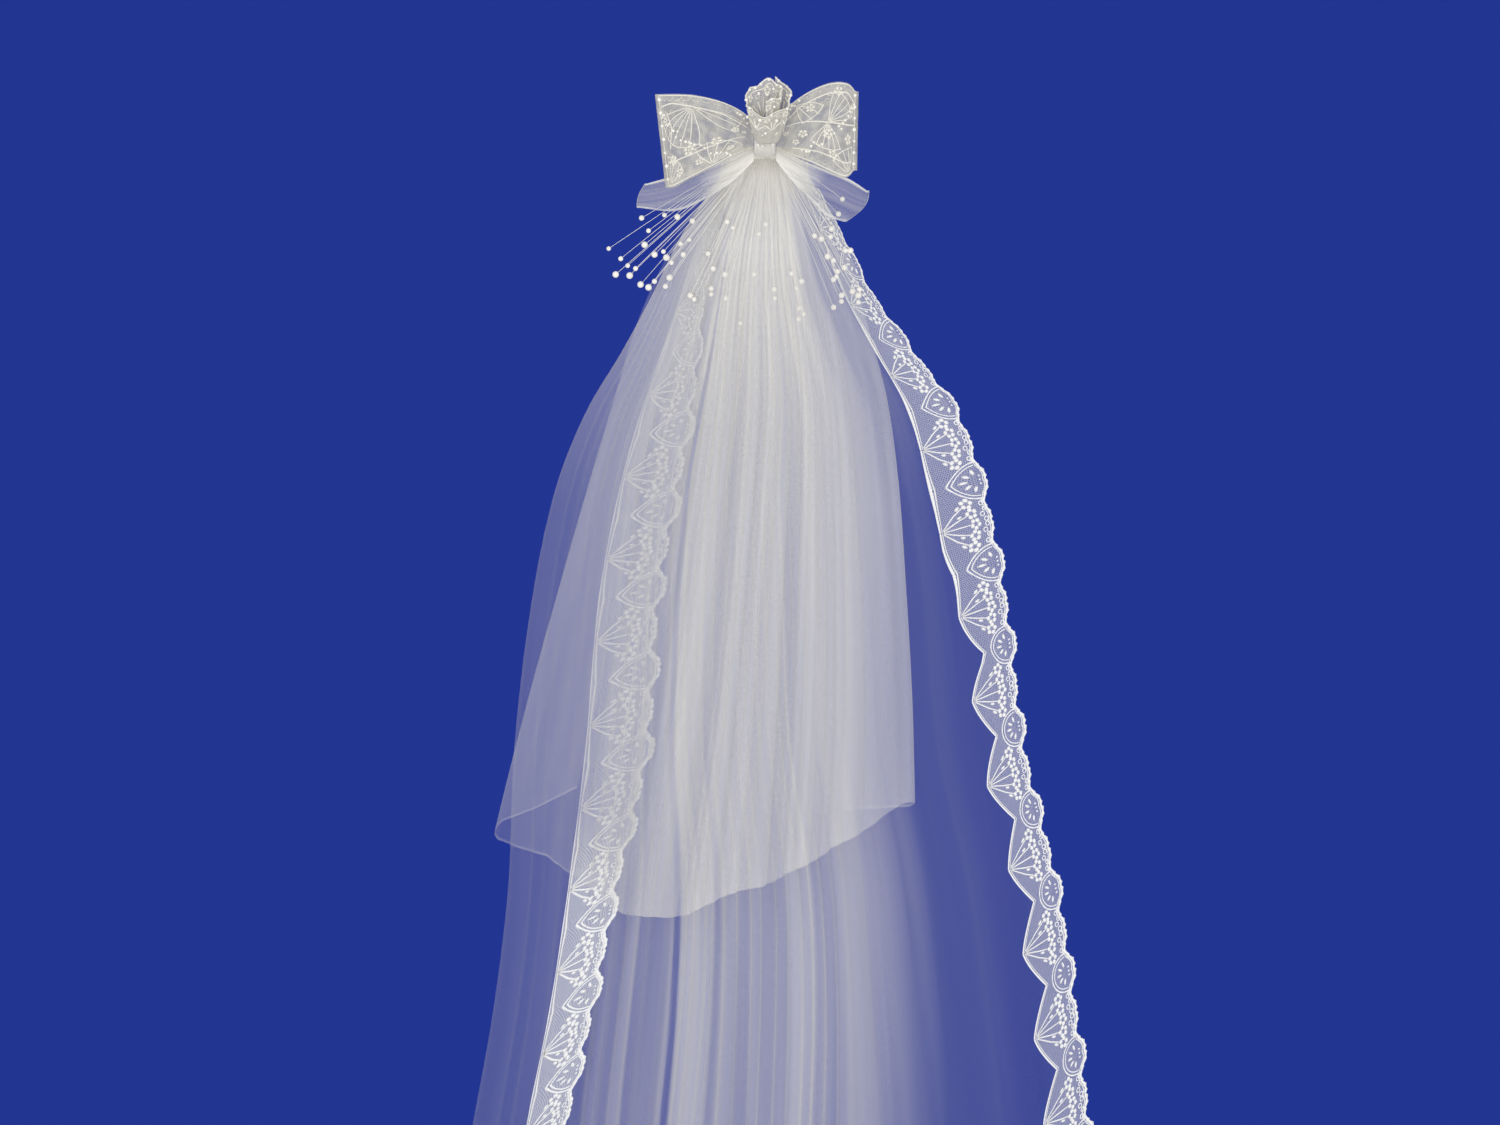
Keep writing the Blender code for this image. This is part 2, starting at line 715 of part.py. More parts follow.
def add_comb(finish, collection):
    """A flat comb: its outline, teeth down, given half its depth to each side."""
    pitch = 2 * COMB_HALF / COMB_TEETH
    half_tooth = COMB_TOOTH_WIDE / 2
    outline = [(-COMB_HALF, COMB_SPINE_TOP), (-COMB_HALF, COMB_SPINE_LOW)]
    for k in range(COMB_TEETH):
        x = -COMB_HALF + pitch * (k + 0.5)
        outline.append((x - half_tooth, COMB_SPINE_LOW))
        outline.append((x - half_tooth * COMB_TIP_SHARE, COMB_TOOTH_TIP))
        outline.append((x + half_tooth * COMB_TIP_SHARE, COMB_TOOTH_TIP))
        outline.append((x + half_tooth, COMB_SPINE_LOW))
    outline += [(COMB_HALF, COMB_SPINE_LOW), (COMB_HALF, COMB_SPINE_TOP)]
    face = bmesh.new()
    verts = [face.verts.new((x, COMB_DEPTH / 2, z)) for x, z in outline]
    front = face.faces.new(verts)
    drawn = bmesh.ops.extrude_face_region(face, geom=[front])["geom"]
    moved = [item for item in drawn if isinstance(item, bmesh.types.BMVert)]
    bmesh.ops.translate(face, vec=Vector((0.0, -COMB_DEPTH, 0.0)), verts=moved)
    bmesh.ops.recalc_face_normals(face, faces=face.faces[:])
    mesh = bpy.data.meshes.new("comb")
    face.to_mesh(mesh)
    face.free()
    made = bpy.data.objects.new("comb", mesh)
    made.data.materials.append(finish)
    collection.objects.link(made)
    return made


def build():
    """Make every piece of the veil in its own collection."""
    clear_scene()
    collection = bpy.data.collections.new(COLLECTION)
    bpy.context.scene.collection.children.link(collection)
    tulle = material("tulle", (0.86, 0.87, 0.90), 0.75, alpha=0.6)
    lace = material("lace", (0.90, 0.90, 0.89), 0.70)
    bow_lace = material("bow_lace", (0.88, 0.87, 0.83), 0.65)
    pearl = material("pearl", (0.92, 0.90, 0.86), 0.25)
    clear = material("comb_plastic", (0.85, 0.85, 0.83), 0.30)

    add_comb(clear, collection)

    long_columns = tier_grid(LONG_RAILS, LONG_FOLDS, LONG_HEM, LONG_LEVELS)
    add_wall("long_tier", long_columns, TULLE_WALL, tulle, collection)
    left = side_lace(long_columns, LONG_LEVELS, 0, 1)
    add_wall("lace_left", left, LACE_WALL, lace, collection)
    right = side_lace(long_columns, LONG_LEVELS, len(long_columns) - 1, -1)
    add_wall("lace_right", right, LACE_WALL, lace, collection)
    add_wall("lace_hem", hem_lace(long_columns), LACE_WALL, lace, collection)

    short_columns = tier_grid(SHORT_RAILS, SHORT_FOLDS, SHORT_HEM, SHORT_LEVELS)
    add_wall("short_tier", short_columns, TULLE_WALL, tulle, collection)

    add_spray("pearls_left", -1, STEM_GROUPS_LEFT, pearl, collection)
    add_spray("pearls_right", 1, STEM_GROUPS_RIGHT, pearl, collection)

    pouf_left = loop_columns(POUF_LEFT, POUF_Y, POUF_FOLD_OUT, -1, POUF_RIPPLE, POUF_ROUND_LEFT)
    add_wall("pouf_left", pouf_left, TULLE_WALL, tulle, collection)
    pouf_right = loop_columns(POUF_RIGHT, POUF_Y, POUF_FOLD_OUT, 1, POUF_RIPPLE, POUF_ROUND_RIGHT)
    add_wall("pouf_right", pouf_right, TULLE_WALL, tulle, collection)
    bow_left = loop_columns(BOW_LEFT, BOW_Y, BOW_FOLD_OUT, -1, BOW_RIPPLE, BOW_ROUND)
    add_wall("bow_left", bow_left, BOW_WALL, bow_lace, collection)
    bow_right = loop_columns(BOW_RIGHT, BOW_Y, BOW_FOLD_OUT, 1, BOW_RIPPLE, BOW_ROUND)
    add_wall("bow_right", bow_right, BOW_WALL, bow_lace, collection)
    add_wall("bow_curl", curl_columns(), BOW_WALL, bow_lace, collection)
    add_knot(bow_lace, collection)


build()
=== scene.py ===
"""Looks of a two-tier bridal veil: sheer tulle, corded lace edging, a lace bow and pearl sprays.

Metres, +Z up. The veil hangs towards -Z from its comb at the origin, and its front faces -Y.
"""

import logging
import math
from collections.abc import Sequence
from dataclasses import astuple, dataclass, field
from enum import Enum

import bmesh
import bpy
import numpy as np
from mathutils import Matrix, Vector


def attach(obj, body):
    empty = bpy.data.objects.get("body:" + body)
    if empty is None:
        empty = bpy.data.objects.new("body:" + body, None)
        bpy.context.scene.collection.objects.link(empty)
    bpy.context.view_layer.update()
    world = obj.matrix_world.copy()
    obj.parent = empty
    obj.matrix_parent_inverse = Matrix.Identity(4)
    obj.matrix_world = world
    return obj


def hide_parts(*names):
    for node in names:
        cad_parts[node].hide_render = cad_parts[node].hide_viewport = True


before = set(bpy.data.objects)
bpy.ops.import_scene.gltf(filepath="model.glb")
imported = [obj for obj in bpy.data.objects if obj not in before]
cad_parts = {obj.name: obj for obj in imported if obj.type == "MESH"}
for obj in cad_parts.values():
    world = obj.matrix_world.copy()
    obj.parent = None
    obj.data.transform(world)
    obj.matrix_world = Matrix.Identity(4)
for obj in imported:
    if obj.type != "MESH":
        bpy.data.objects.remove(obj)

logging.basicConfig(level=logging.INFO, format="%(message)s")
log = logging.getLogger("veil")

BODY = "root"
CLOTH_MAP = "cloth"
FULLNESS = "fullness"
MILLIMETRE = 0.001


class Slot(Enum):
    """The record's material slots."""

    TULLE = "tulle"
    EDGING = "edging_lace"
    BOW = "bow_lace"
    PEARL = "pearl"
    COMB = "comb_plastic"


@dataclass(frozen=True)
class Rail:
    """A level section of a tier at one drop below the gather."""

    drop: float
    left_edge: float
    left_fold: float
    right_fold: float
    right_edge: float
    main_y: float
    turned_y: float
    swing: float


@dataclass(frozen=True)
class Fold:
    """One pleat: its share of the cloth, and how far the cloth swings from the level line."""

    share: float
    swing_deg: float


@dataclass(frozen=True)
class HemPoint:
    """The hem's drop at a share of the cloth's width, from the left edge."""

    across: float
    drop: float


@dataclass(frozen=True)
class LayerPoint:
    """How many layers of cloth, drawn in at the gather, lie over each other at a share of the tier's width."""

    across: float
    layers: float


@dataclass(frozen=True)
class Station:
    """A rib of a bow or tulle loop, from the knot outwards."""

    top_x: float
    top_z: float
    low_x: float
    low_z: float
    belly: float


@dataclass(frozen=True)
class PearlPlace:
    """The end of a pearl stem, in millimetres right of and above the comb's middle."""

    x: float
    z: float
    diameter: float


LONG_RAILS = (
    #    drop    left_edge  left_fold  right_fold right_edge main_y   turned_y swing
    Rail(0.000, -0.0262, -0.0300, 0.0300, 0.0300, -0.0024, -0.0056, 0.50),
    Rail(0.030, -0.0375, -0.0480, 0.0470, 0.0470, -0.0028, -0.0082, 0.60),
    Rail(0.060, -0.0430, -0.0680, 0.0640, 0.0640, -0.0026, -0.0104, 0.70),
    Rail(0.092, -0.0520, -0.0880, 0.0800, 0.0800, -0.0015, -0.0116, 0.78),
    Rail(0.142, -0.0630, -0.1120, 0.1050, 0.1050, 0.0010, -0.0120, 0.86),
    Rail(0.200, -0.0710, -0.1430, 0.1450, 0.1450, 0.0040, -0.0116, 0.92),
    Rail(0.262, -0.0800, -0.1800, 0.1890, 0.1890, 0.0080, -0.0106, 0.96),
    Rail(0.340, -0.0950, -0.2110, 0.2160, 0.2160, 0.0130, -0.0088, 1.00),
    Rail(0.452, -0.1150, -0.2350, 0.2380, 0.2380, 0.0180, -0.0080, 1.00),
    Rail(0.602, -0.1260, -0.2530, 0.2570, 0.2570, 0.0230, -0.0074, 1.00),
    Rail(0.740, -0.1550, -0.2590, 0.2900, 0.2900, 0.0260, -0.0070, 1.00),
    Rail(0.865, -0.1790, -0.2740, 0.3090, 0.3090, 0.0280, -0.0070, 1.00),
    Rail(0.977, -0.2040, -0.2940, 0.3220, 0.3220, 0.0290, -0.0070, 1.00),
    Rail(1.370, -0.2780, -0.3640, 0.3580, 0.3580, 0.0300, -0.0070, 1.00),
)
LONG_FOLDS = (
    Fold(1.0, 66.0),
    Fold(1.5, 70.0),
    Fold(0.7, 62.0),
    Fold(1.2, 72.0),
    Fold(0.8, 66.0),
    Fold(1.4, 70.0),
    Fold(1.0, 74.0),
    Fold(0.7, 66.0),
    Fold(1.3, 72.0),
    Fold(0.9, 70.0),
    Fold(1.2, 72.0),
    Fold(0.8, 68.0),
    Fold(1.1, 66.0),
    Fold(1.2, 54.0),
    Fold(1.5, 30.0),
    Fold(2.4, 16.0),
)
LONG_HEM = (
    HemPoint(0.00, 1.250),
    HemPoint(0.05, 1.305),
    HemPoint(0.10, 1.345),
    HemPoint(0.17, 1.370),
    HemPoint(0.86, 1.370),
    HemPoint(0.92, 1.345),
    HemPoint(0.96, 1.305),
    HemPoint(1.00, 1.250),
)
LONG_LAYERS = (
    LayerPoint(0.000, 0.6),
    LayerPoint(0.100, 1.0),
    LayerPoint(0.180, 2.2),
    LayerPoint(0.250, 3.5),
    LayerPoint(0.302, 4.1),
    LayerPoint(0.307, 1.3),
    LayerPoint(0.315, 1.3),
    LayerPoint(0.320, 4.8),
    LayerPoint(0.440, 5.7),
    LayerPoint(0.620, 5.2),
    LayerPoint(0.680, 3.6),
    LayerPoint(0.730, 1.6),
    LayerPoint(0.780, 0.6),
    LayerPoint(1.000, 0.55),
)

SHORT_RAILS = (
    #    drop    left_edge  left_fold  right_fold right_edge main_y   turned_y swing
    Rail(0.000, -0.0230, -0.0300, 0.0300, 0.0230, -0.0126, -0.0096, 0.50),
    Rail(0.030, -0.0340, -0.0480, 0.0470, 0.0340, -0.0187, -0.0153, 0.60),
    Rail(0.063, -0.0500, -0.0750, 0.0670, 0.0450, -0.0233, -0.0195, 0.72),
    Rail(0.100, -0.0660, -0.0950, 0.0820, 0.0540, -0.0263, -0.0223, 0.80),
    Rail(0.139, -0.0800, -0.1140, 0.0930, 0.0600, -0.0277, -0.0233, 0.86),
    Rail(0.182, -0.0920, -0.1310, 0.1050, 0.0660, -0.0277, -0.0227, 0.92),
    Rail(0.252, -0.1080, -0.1520, 0.1230, 0.0720, -0.0275, -0.0215, 0.96),
    Rail(0.332, -0.1250, -0.1760, 0.1340, 0.0770, -0.0275, -0.0205, 1.00),
    Rail(0.412, -0.1410, -0.1990, 0.1400, 0.0790, -0.0280, -0.0200, 1.00),
    Rail(0.552, -0.1680, -0.2380, 0.1480, 0.0800, -0.0290, -0.0195, 1.00),
    Rail(0.683, -0.1980, -0.2710, 0.1510, 0.0760, -0.0300, -0.0195, 1.00),
    Rail(0.775, -0.2150, -0.2900, 0.1520, 0.0740, -0.0305, -0.0195, 1.00),
)
SHORT_FOLDS = (
    Fold(1.7, 48.0),
    Fold(1.0, 62.0),
    Fold(1.4, 66.0),
    Fold(0.7, 64.0),
    Fold(1.1, 70.0),
    Fold(0.8, 68.0),
    Fold(1.2, 72.0),
    Fold(0.7, 66.0),
    Fold(1.0, 70.0),
    Fold(0.8, 72.0),
    Fold(1.3, 70.0),
    Fold(0.7, 64.0),
    Fold(1.0, 68.0),
    Fold(0.8, 62.0),
    Fold(1.3, 58.0),
    Fold(1.6, 44.0),
)
SHORT_HEM = (
    HemPoint(0.00, 0.641),
    HemPoint(0.07, 0.683),
    HemPoint(0.19, 0.722),
    HemPoint(0.30, 0.762),
    HemPoint(0.41, 0.770),
    HemPoint(0.50, 0.766),
    HemPoint(0.57, 0.750),
    HemPoint(0.66, 0.738),
    HemPoint(0.80, 0.709),
    HemPoint(0.88, 0.683),
    HemPoint(0.93, 0.656),
    HemPoint(1.00, 0.663),
)
SHORT_LAYERS = (
    LayerPoint(0.00, 1.0),
    LayerPoint(0.12, 1.1),
    LayerPoint(0.22, 2.1),
    LayerPoint(0.32, 4.2),
    LayerPoint(0.48, 5.0),
    LayerPoint(0.80, 4.8),
    LayerPoint(0.92, 3.6),
    LayerPoint(1.00, 2.6),
)

BOW_Y = -0.0565
BOW_LEFT = (
    #       top_x    top_z    low_x    low_z   belly
    Station(-0.0112, 0.0260, -0.0112, 0.0000, 0.0030),
    Station(-0.0250, 0.0370, -0.0260, -0.0060, 0.0065),
    Station(-0.0450, 0.0460, -0.0500, -0.0180, 0.0095),
    Station(-0.0720, 0.0520, -0.0750, -0.0310, 0.0105),
    Station(-0.0950, 0.0530, -0.0900, -0.0390, 0.0085),
    Station(-0.1070, 0.0530, -0.0965, -0.0400, 0.0045),
)
BOW_RIGHT = (
    Station(0.0112, 0.0280, 0.0112, -0.0020, 0.0030),
    Station(0.0270, 0.0440, 0.0270, -0.0080, 0.0065),
    Station(0.0450, 0.0560, 0.0450, -0.0150, 0.0095),
    Station(0.0650, 0.0640, 0.0640, -0.0240, 0.0105),
    Station(0.0820, 0.0640, 0.0800, -0.0300, 0.0085),
    Station(0.0905, 0.0560, 0.0890, -0.0230, 0.0045),
)
BOW_FOLD_OUT = 0.0030

POUF_Y = -0.0375
POUF_LEFT = (
    Station(-0.0112, 0.0010, -0.0112, -0.0120, 0.0020),
    Station(-0.0420, -0.0120, -0.0330, -0.0330, 0.0045),
    Station(-0.0750, -0.0230, -0.0600, -0.0500, 0.0060),
    Station(-0.1000, -0.0300, -0.0900, -0.0620, 0.0060),
    Station(-0.1180, -0.0350, -0.1260, -0.0590, 0.0035),
)
POUF_RIGHT = (
    Station(0.0112, 0.0010, 0.0112, -0.0120, 0.0020),
    Station(0.0380, -0.0120, 0.0280, -0.0330, 0.0045),
    Station(0.0650, -0.0230, 0.0470, -0.0520, 0.0060),
    Station(0.0850, -0.0310, 0.0620, -0.0670, 0.0060),
    Station(0.1020, -0.0420, 0.0790, -0.0730, 0.0035),
)
POUF_FOLD_OUT = 0.0025

LACE_REPEAT = 0.084
LACE_STRIP = 0.050
LACE_START = 0.038
LEFT_LACE_VEILED_ABOVE = -0.665
LEFT_LACE_DRAWN_IN = 1.10
RIGHT_LACE_DRAWN_IN = 1.24
LEFT_LACE_FULL_UNTIL = 2.0
LEFT_LACE_GROUND = 1.9
RIGHT_LACE_GROUND = 1.3
RIGHT_LACE_FULL_UNTIL = 0.56

SPRAY_LEFT = (
    #          x     z    diameter
    PearlPlace(-157, -99, 4.2),
    PearlPlace(-145, -109, 4.6),
    PearlPlace(-150, -125, 6.0),
    PearlPlace(-138, -116, 4.4),
    PearlPlace(-136, -126, 6.2),
    PearlPlace(-130, -119, 4.6),
    PearlPlace(-124, -68, 5.0),
    PearlPlace(-117, -81, 4.4),
    PearlPlace(-121, -95, 6.0),
    PearlPlace(-101, -65, 4.4),
    PearlPlace(-88, -67, 5.6),
    PearlPlace(-111, -105, 5.8),
    PearlPlace(-102, -102, 4.4),
    PearlPlace(-99, -108, 6.2),
    PearlPlace(-94, -113, 4.6),
    PearlPlace(-82, -105, 5.2),
    PearlPlace(-125, -135, 6.0),
    PearlPlace(-117, -138, 6.2),
    PearlPlace(-111, -132, 4.8),
    PearlPlace(-96, -128, 6.0),
    PearlPlace(-100, -137, 5.0),
    PearlPlace(-85, -94, 4.6),
    PearlPlace(-76, -90, 4.4),
    PearlPlace(-73, -71, 5.2),
    PearlPlace(-57, -104, 5.0),
    PearlPlace(-52, -119, 5.6),
    PearlPlace(-40, -125, 6.0),
    PearlPlace(-11, -125, 5.0),
    PearlPlace(-54, -139, 5.2),
    PearlPlace(-54, -145, 4.6),
    PearlPlace(-75, -146, 5.8),
    PearlPlace(-71, -150, 4.6),
    PearlPlace(-39, -149, 5.8),
    PearlPlace(-25, -174, 4.8),
    PearlPlace(-38, -72, 5.2),
    PearlPlace(-32, -78, 4.4),
    PearlPlace(-6, -84, 4.6),
)
SPRAY_RIGHT = (
    PearlPlace(1, -74, 5.0),
    PearlPlace(9, -140, 5.6),
    PearlPlace(10, -149, 4.6),
    PearlPlace(50, -86, 5.2),
    PearlPlace(57, -89, 5.8),
    PearlPlace(66, -87, 4.8),
    PearlPlace(67, -79, 5.4),
    PearlPlace(81, -101, 5.0),
    PearlPlace(86, -101, 5.6),
    PearlPlace(63, -107, 5.8),
    PearlPlace(69, -111, 4.8),
    PearlPlace(80, -118, 5.8),
    PearlPlace(73, -122, 5.0),
    PearlPlace(72, -127, 4.4),
    PearlPlace(69, -130, 5.2),
    PearlPlace(88, -142, 5.6),
    PearlPlace(95, -140, 5.0),
    PearlPlace(94, -146, 5.8),
    PearlPlace(94, -153, 4.6),
    PearlPlace(77, -146, 5.4),
    PearlPlace(77, -152, 4.6),
    PearlPlace(69, -158, 5.2),
    PearlPlace(27, -124, 5.4),
    PearlPlace(37, -132, 5.8),
    PearlPlace(32, -139, 4.6),
    PearlPlace(35, -159, 5.4),
    PearlPlace(39, -165, 4.6),
    PearlPlace(34, -170, 5.2),
    PearlPlace(74, -64, 5.0),
    PearlPlace(78, -49, 4.6),
)


class Nodes:
    """A node tree with short calls for adding and wiring nodes."""

    def __init__(self, tree: bpy.types.NodeTree) -> None:
        """Keep the tree that the nodes go into."""
        self.tree = tree

    def add(self, kind: str, **settings: object) -> bpy.types.Node:
        """Add a node.

        Args:
            kind: The node's type name in Blender.
            settings: Properties of the node to set.

        Returns:
            The new node.
        """
        node = self.tree.nodes.new(kind)
        for key, value in settings.items():
            setattr(node, key, value)
        return node

    def link(self, out: bpy.types.NodeSocket, into: bpy.types.NodeSocket) -> None:
        """Wire one socket to another."""
        self.tree.links.new(out, into)

    def feed(self, value: object, into: bpy.types.NodeSocket) -> None:
        """Wire a socket, or set a plain number or colour, into an input."""
        if isinstance(value, bpy.types.NodeSocket):
            self.link(value, into)
        else:
            into.default_value = value

    def math(self, operation: str, a: object, b: object = 0.0, clamp: bool = False) -> bpy.types.NodeSocket:
        """Work out one step of arithmetic.

        Args:
            operation: The Math node's operation.
            a: First value or socket.
            b: Second value or socket.
            clamp: Whether the result is held between 0 and 1.

        Returns:
            The result's socket.
        """
        node = self.add("ShaderNodeMath", operation=operation, use_clamp=clamp)
        self.feed(a, node.inputs[0])
        self.feed(b, node.inputs[1])
        return node.outputs[0]

    def remap(
        self, value: object, low: float, high: float, to_low: float, to_high: float
    ) -> bpy.types.NodeSocket:
        """Carry a value from one range to another, held at both ends."""
        node = self.add("ShaderNodeMapRange", interpolation_type="SMOOTHSTEP")
        self.feed(value, node.inputs["Value"])
        node.inputs["From Min"].default_value = low
        node.inputs["From Max"].default_value = high
        node.inputs["To Min"].default_value = to_low
        node.inputs["To Max"].default_value = to_high
        return node.outputs[0]

    def blend(self, share: object, first: object, second: object) -> bpy.types.NodeSocket:
        """Mix two colours by a share."""
        node = self.add("ShaderNodeMix", data_type="RGBA")
        self.feed(share, node.inputs[0])
        self.feed(first, node.inputs[6])
        self.feed(second, node.inputs[7])
        return node.outputs[2]


def rgba(colour: Sequence[float]) -> tuple[float, float, float, float]:
    """A colour with full opacity added."""
    return (colour[0], colour[1], colour[2], 1.0)


def new_group(
    name: str, inputs: dict[str, tuple[str, object]], outputs: dict[str, str]
) -> bpy.types.NodeTree:
    """Start a shader node group with named sockets.

    Args:
        name: The group's name.
        inputs: Socket kind and default value by input name.
        outputs: Socket kind by output name.

    Returns:
        The empty group.
    """
    group = bpy.data.node_groups.new(name, "ShaderNodeTree")
    for label, (kind, value) in inputs.items():
        socket = group.interface.new_socket(name=label, in_out="INPUT", socket_type=kind)
        if value is not None:
            socket.default_value = value
    for label, kind in outputs.items():
        group.interface.new_socket(name=label, in_out="OUTPUT", socket_type=kind)
    return group


class Effects:
    """Shader node groups that several finishes share, each built once."""

    def __init__(self) -> None:
        """Build the groups."""
        self.net = self._net()
        self.streaks = self._streaks()
        self.fibre = self._fibre()

    @staticmethod
    def _net() -> bpy.types.NodeTree:
        """A net of small cells: where its threads run, from the cloth's own map."""
        sockets = {"Map": ("NodeSocketVector", None), "Cells a Metre": ("NodeSocketFloat", 700.0),
                   "Thread": ("NodeSocketFloat", 0.12)}
        group = new_group("net_threads", sockets, {"Mask": "NodeSocketFloat"})
        wires = Nodes(group)
        source = wires.add("NodeGroupInput")
        result = wires.add("NodeGroupOutput")
        cells = wires.add("ShaderNodeTexVoronoi", feature="DISTANCE_TO_EDGE", voronoi_dimensions="2D")
        cells.inputs["Randomness"].default_value = 0.35
        wires.link(source.outputs["Map"], cells.inputs["Vector"])
        wires.link(source.outputs["Cells a Metre"], cells.inputs["Scale"])
        share = wires.math("DIVIDE", cells.outputs["Distance"], source.outputs["Thread"])
        wires.link(wires.remap(share, 0.6, 1.4, 1.0, 0.0), result.inputs["Mask"])
        return group

    @staticmethod
    def _streaks() -> bpy.types.NodeTree:
        """Long soft streaks down the cloth, as gathered tulle shows them."""
        sockets = {"Map": ("NodeSocketVector", None), "Across": ("NodeSocketFloat", 60.0),
                   "Down": ("NodeSocketFloat", 0.8)}
        group = new_group("gather_streaks", sockets, {"Value": "NodeSocketFloat"})
        wires = Nodes(group)
        source = wires.add("NodeGroupInput")
        result = wires.add("NodeGroupOutput")
        split = wires.add("ShaderNodeSeparateXYZ")
        wires.link(source.outputs["Map"], split.inputs[0])
        joined = wires.add("ShaderNodeCombineXYZ")
        wires.link(wires.math("MULTIPLY", split.outputs[0], source.outputs["Across"]), joined.inputs[0])
        wires.link(wires.math("MULTIPLY", split.outputs[1], source.outputs["Down"]), joined.inputs[1])
        noise = wires.add("ShaderNodeTexNoise", noise_dimensions="2D")
        noise.inputs["Scale"].default_value = 1.0
        noise.inputs["Detail"].default_value = 2.0
        noise.inputs["Roughness"].default_value = 0.55
        wires.link(joined.outputs[0], noise.inputs["Vector"])
        wires.link(wires.remap(noise.outputs[0], 0.28, 0.72, 0.0, 1.0), result.inputs["Value"])
        return group

    @staticmethod
    def _fibre() -> bpy.types.NodeTree:
        """The fine twist of thread, as a height, which also sets where the thread's painted shade falls."""
        group = new_group(
            "thread_twist",
            {"Turns a Metre": ("NodeSocketFloat", 1400.0)},
            {"Height": "NodeSocketFloat"},
        )
        wires = Nodes(group)
        source = wires.add("NodeGroupInput")
        result = wires.add("NodeGroupOutput")
        place = wires.add("ShaderNodeTexCoord")
        noise = wires.add("ShaderNodeTexNoise")
        noise.inputs["Detail"].default_value = 2.0
        wires.link(place.outputs["Object"], noise.inputs["Vector"])
        wires.link(source.outputs["Turns a Metre"], noise.inputs["Scale"])
        wires.link(noise.outputs[0], result.inputs["Height"])
        return group


@dataclass(frozen=True)
class SheerFinish:
    """Tulle: white net whose cover follows how many layers are drawn together there, with painted light near the
    top, where its colour turns lighter and warmer under the bow's shade.
    """

    name: str
    colour: tuple[float, float, float]
    shade: tuple[float, float, float]
    streaks_across: float
    streak_depth: float
    cells: float = 620.0
    roughness: float = 0.78
    sheen: float = 0.25
    # Painted light: near the top the colour turns to this lighter, warmer white, where the bow and knot shade the
    # tulle; the blend fades in between the two heights below, in object Z.
    top_painted_light: tuple[float, float, float] = (0.95, 0.93, 0.88)
    painted_light_from_z: float = -0.052
    painted_light_full_z: float = -0.014

    def build(self, effects: Effects) -> bpy.types.Material:
        """Make the material from the shared effects."""
        made = bpy.data.materials.new(self.name)
        made.use_nodes = True
        wires = Nodes(made.node_tree)
        shader = made.node_tree.nodes["Principled BSDF"]
        cloth = wires.add("ShaderNodeUVMap", uv_map=CLOTH_MAP).outputs[0]
        cover = wires.add("ShaderNodeAttribute", attribute_name=FULLNESS).outputs["Fac"]
        place = wires.add("ShaderNodeSeparateXYZ")
        wires.link(wires.add("ShaderNodeTexCoord").outputs["Object"], place.inputs[0])
        # Painted light: a share that rises from 0 to 1 towards the top of the piece, by object Z, for the lighter
        # top colour.
        painted_light_share = wires.remap(place.outputs[2], self.painted_light_from_z, self.painted_light_full_z, 0.0, 1.0)
        streak = wires.add("ShaderNodeGroup", node_tree=effects.streaks)
        wires.link(cloth, streak.inputs["Map"])
        streak.inputs["Across"].default_value = self.streaks_across
        net = wires.add("ShaderNodeGroup", node_tree=effects.net)
        wires.link(cloth, net.inputs["Map"])
        net.inputs["Cells a Metre"].default_value = self.cells
        low = 1.0 - self.streak_depth
        high = 1.0 + self.streak_depth
        lift = wires.remap(streak.outputs[0], 0.0, 1.0, low, high)
        woven = wires.remap(net.outputs[0], 0.0, 1.0, 0.95, 1.07)
        alpha = wires.math("MULTIPLY", wires.math("MULTIPLY", cover, lift), woven, clamp=True)
        wires.link(alpha, shader.inputs["Alpha"])
        plain = wires.blend(streak.outputs[0], rgba(self.shade), rgba(self.colour))
        # The plain colour turns to the lighter, warmer painted-light colour near the top.
        wires.link(wires.blend(painted_light_share, plain, rgba(self.top_painted_light)), shader.inputs["Base Color"])
        shader.inputs["Roughness"].default_value = self.roughness
        shader.inputs["Sheen Weight"].default_value = self.sheen
        bump = wires.add("ShaderNodeBump")
        bump.inputs["Strength"].default_value = 0.15
        bump.inputs["Distance"].default_value = 0.0003
        wires.link(net.outputs[0], bump.inputs["Height"])
        wires.link(bump.outputs[0], shader.inputs["Normal"])
        return made


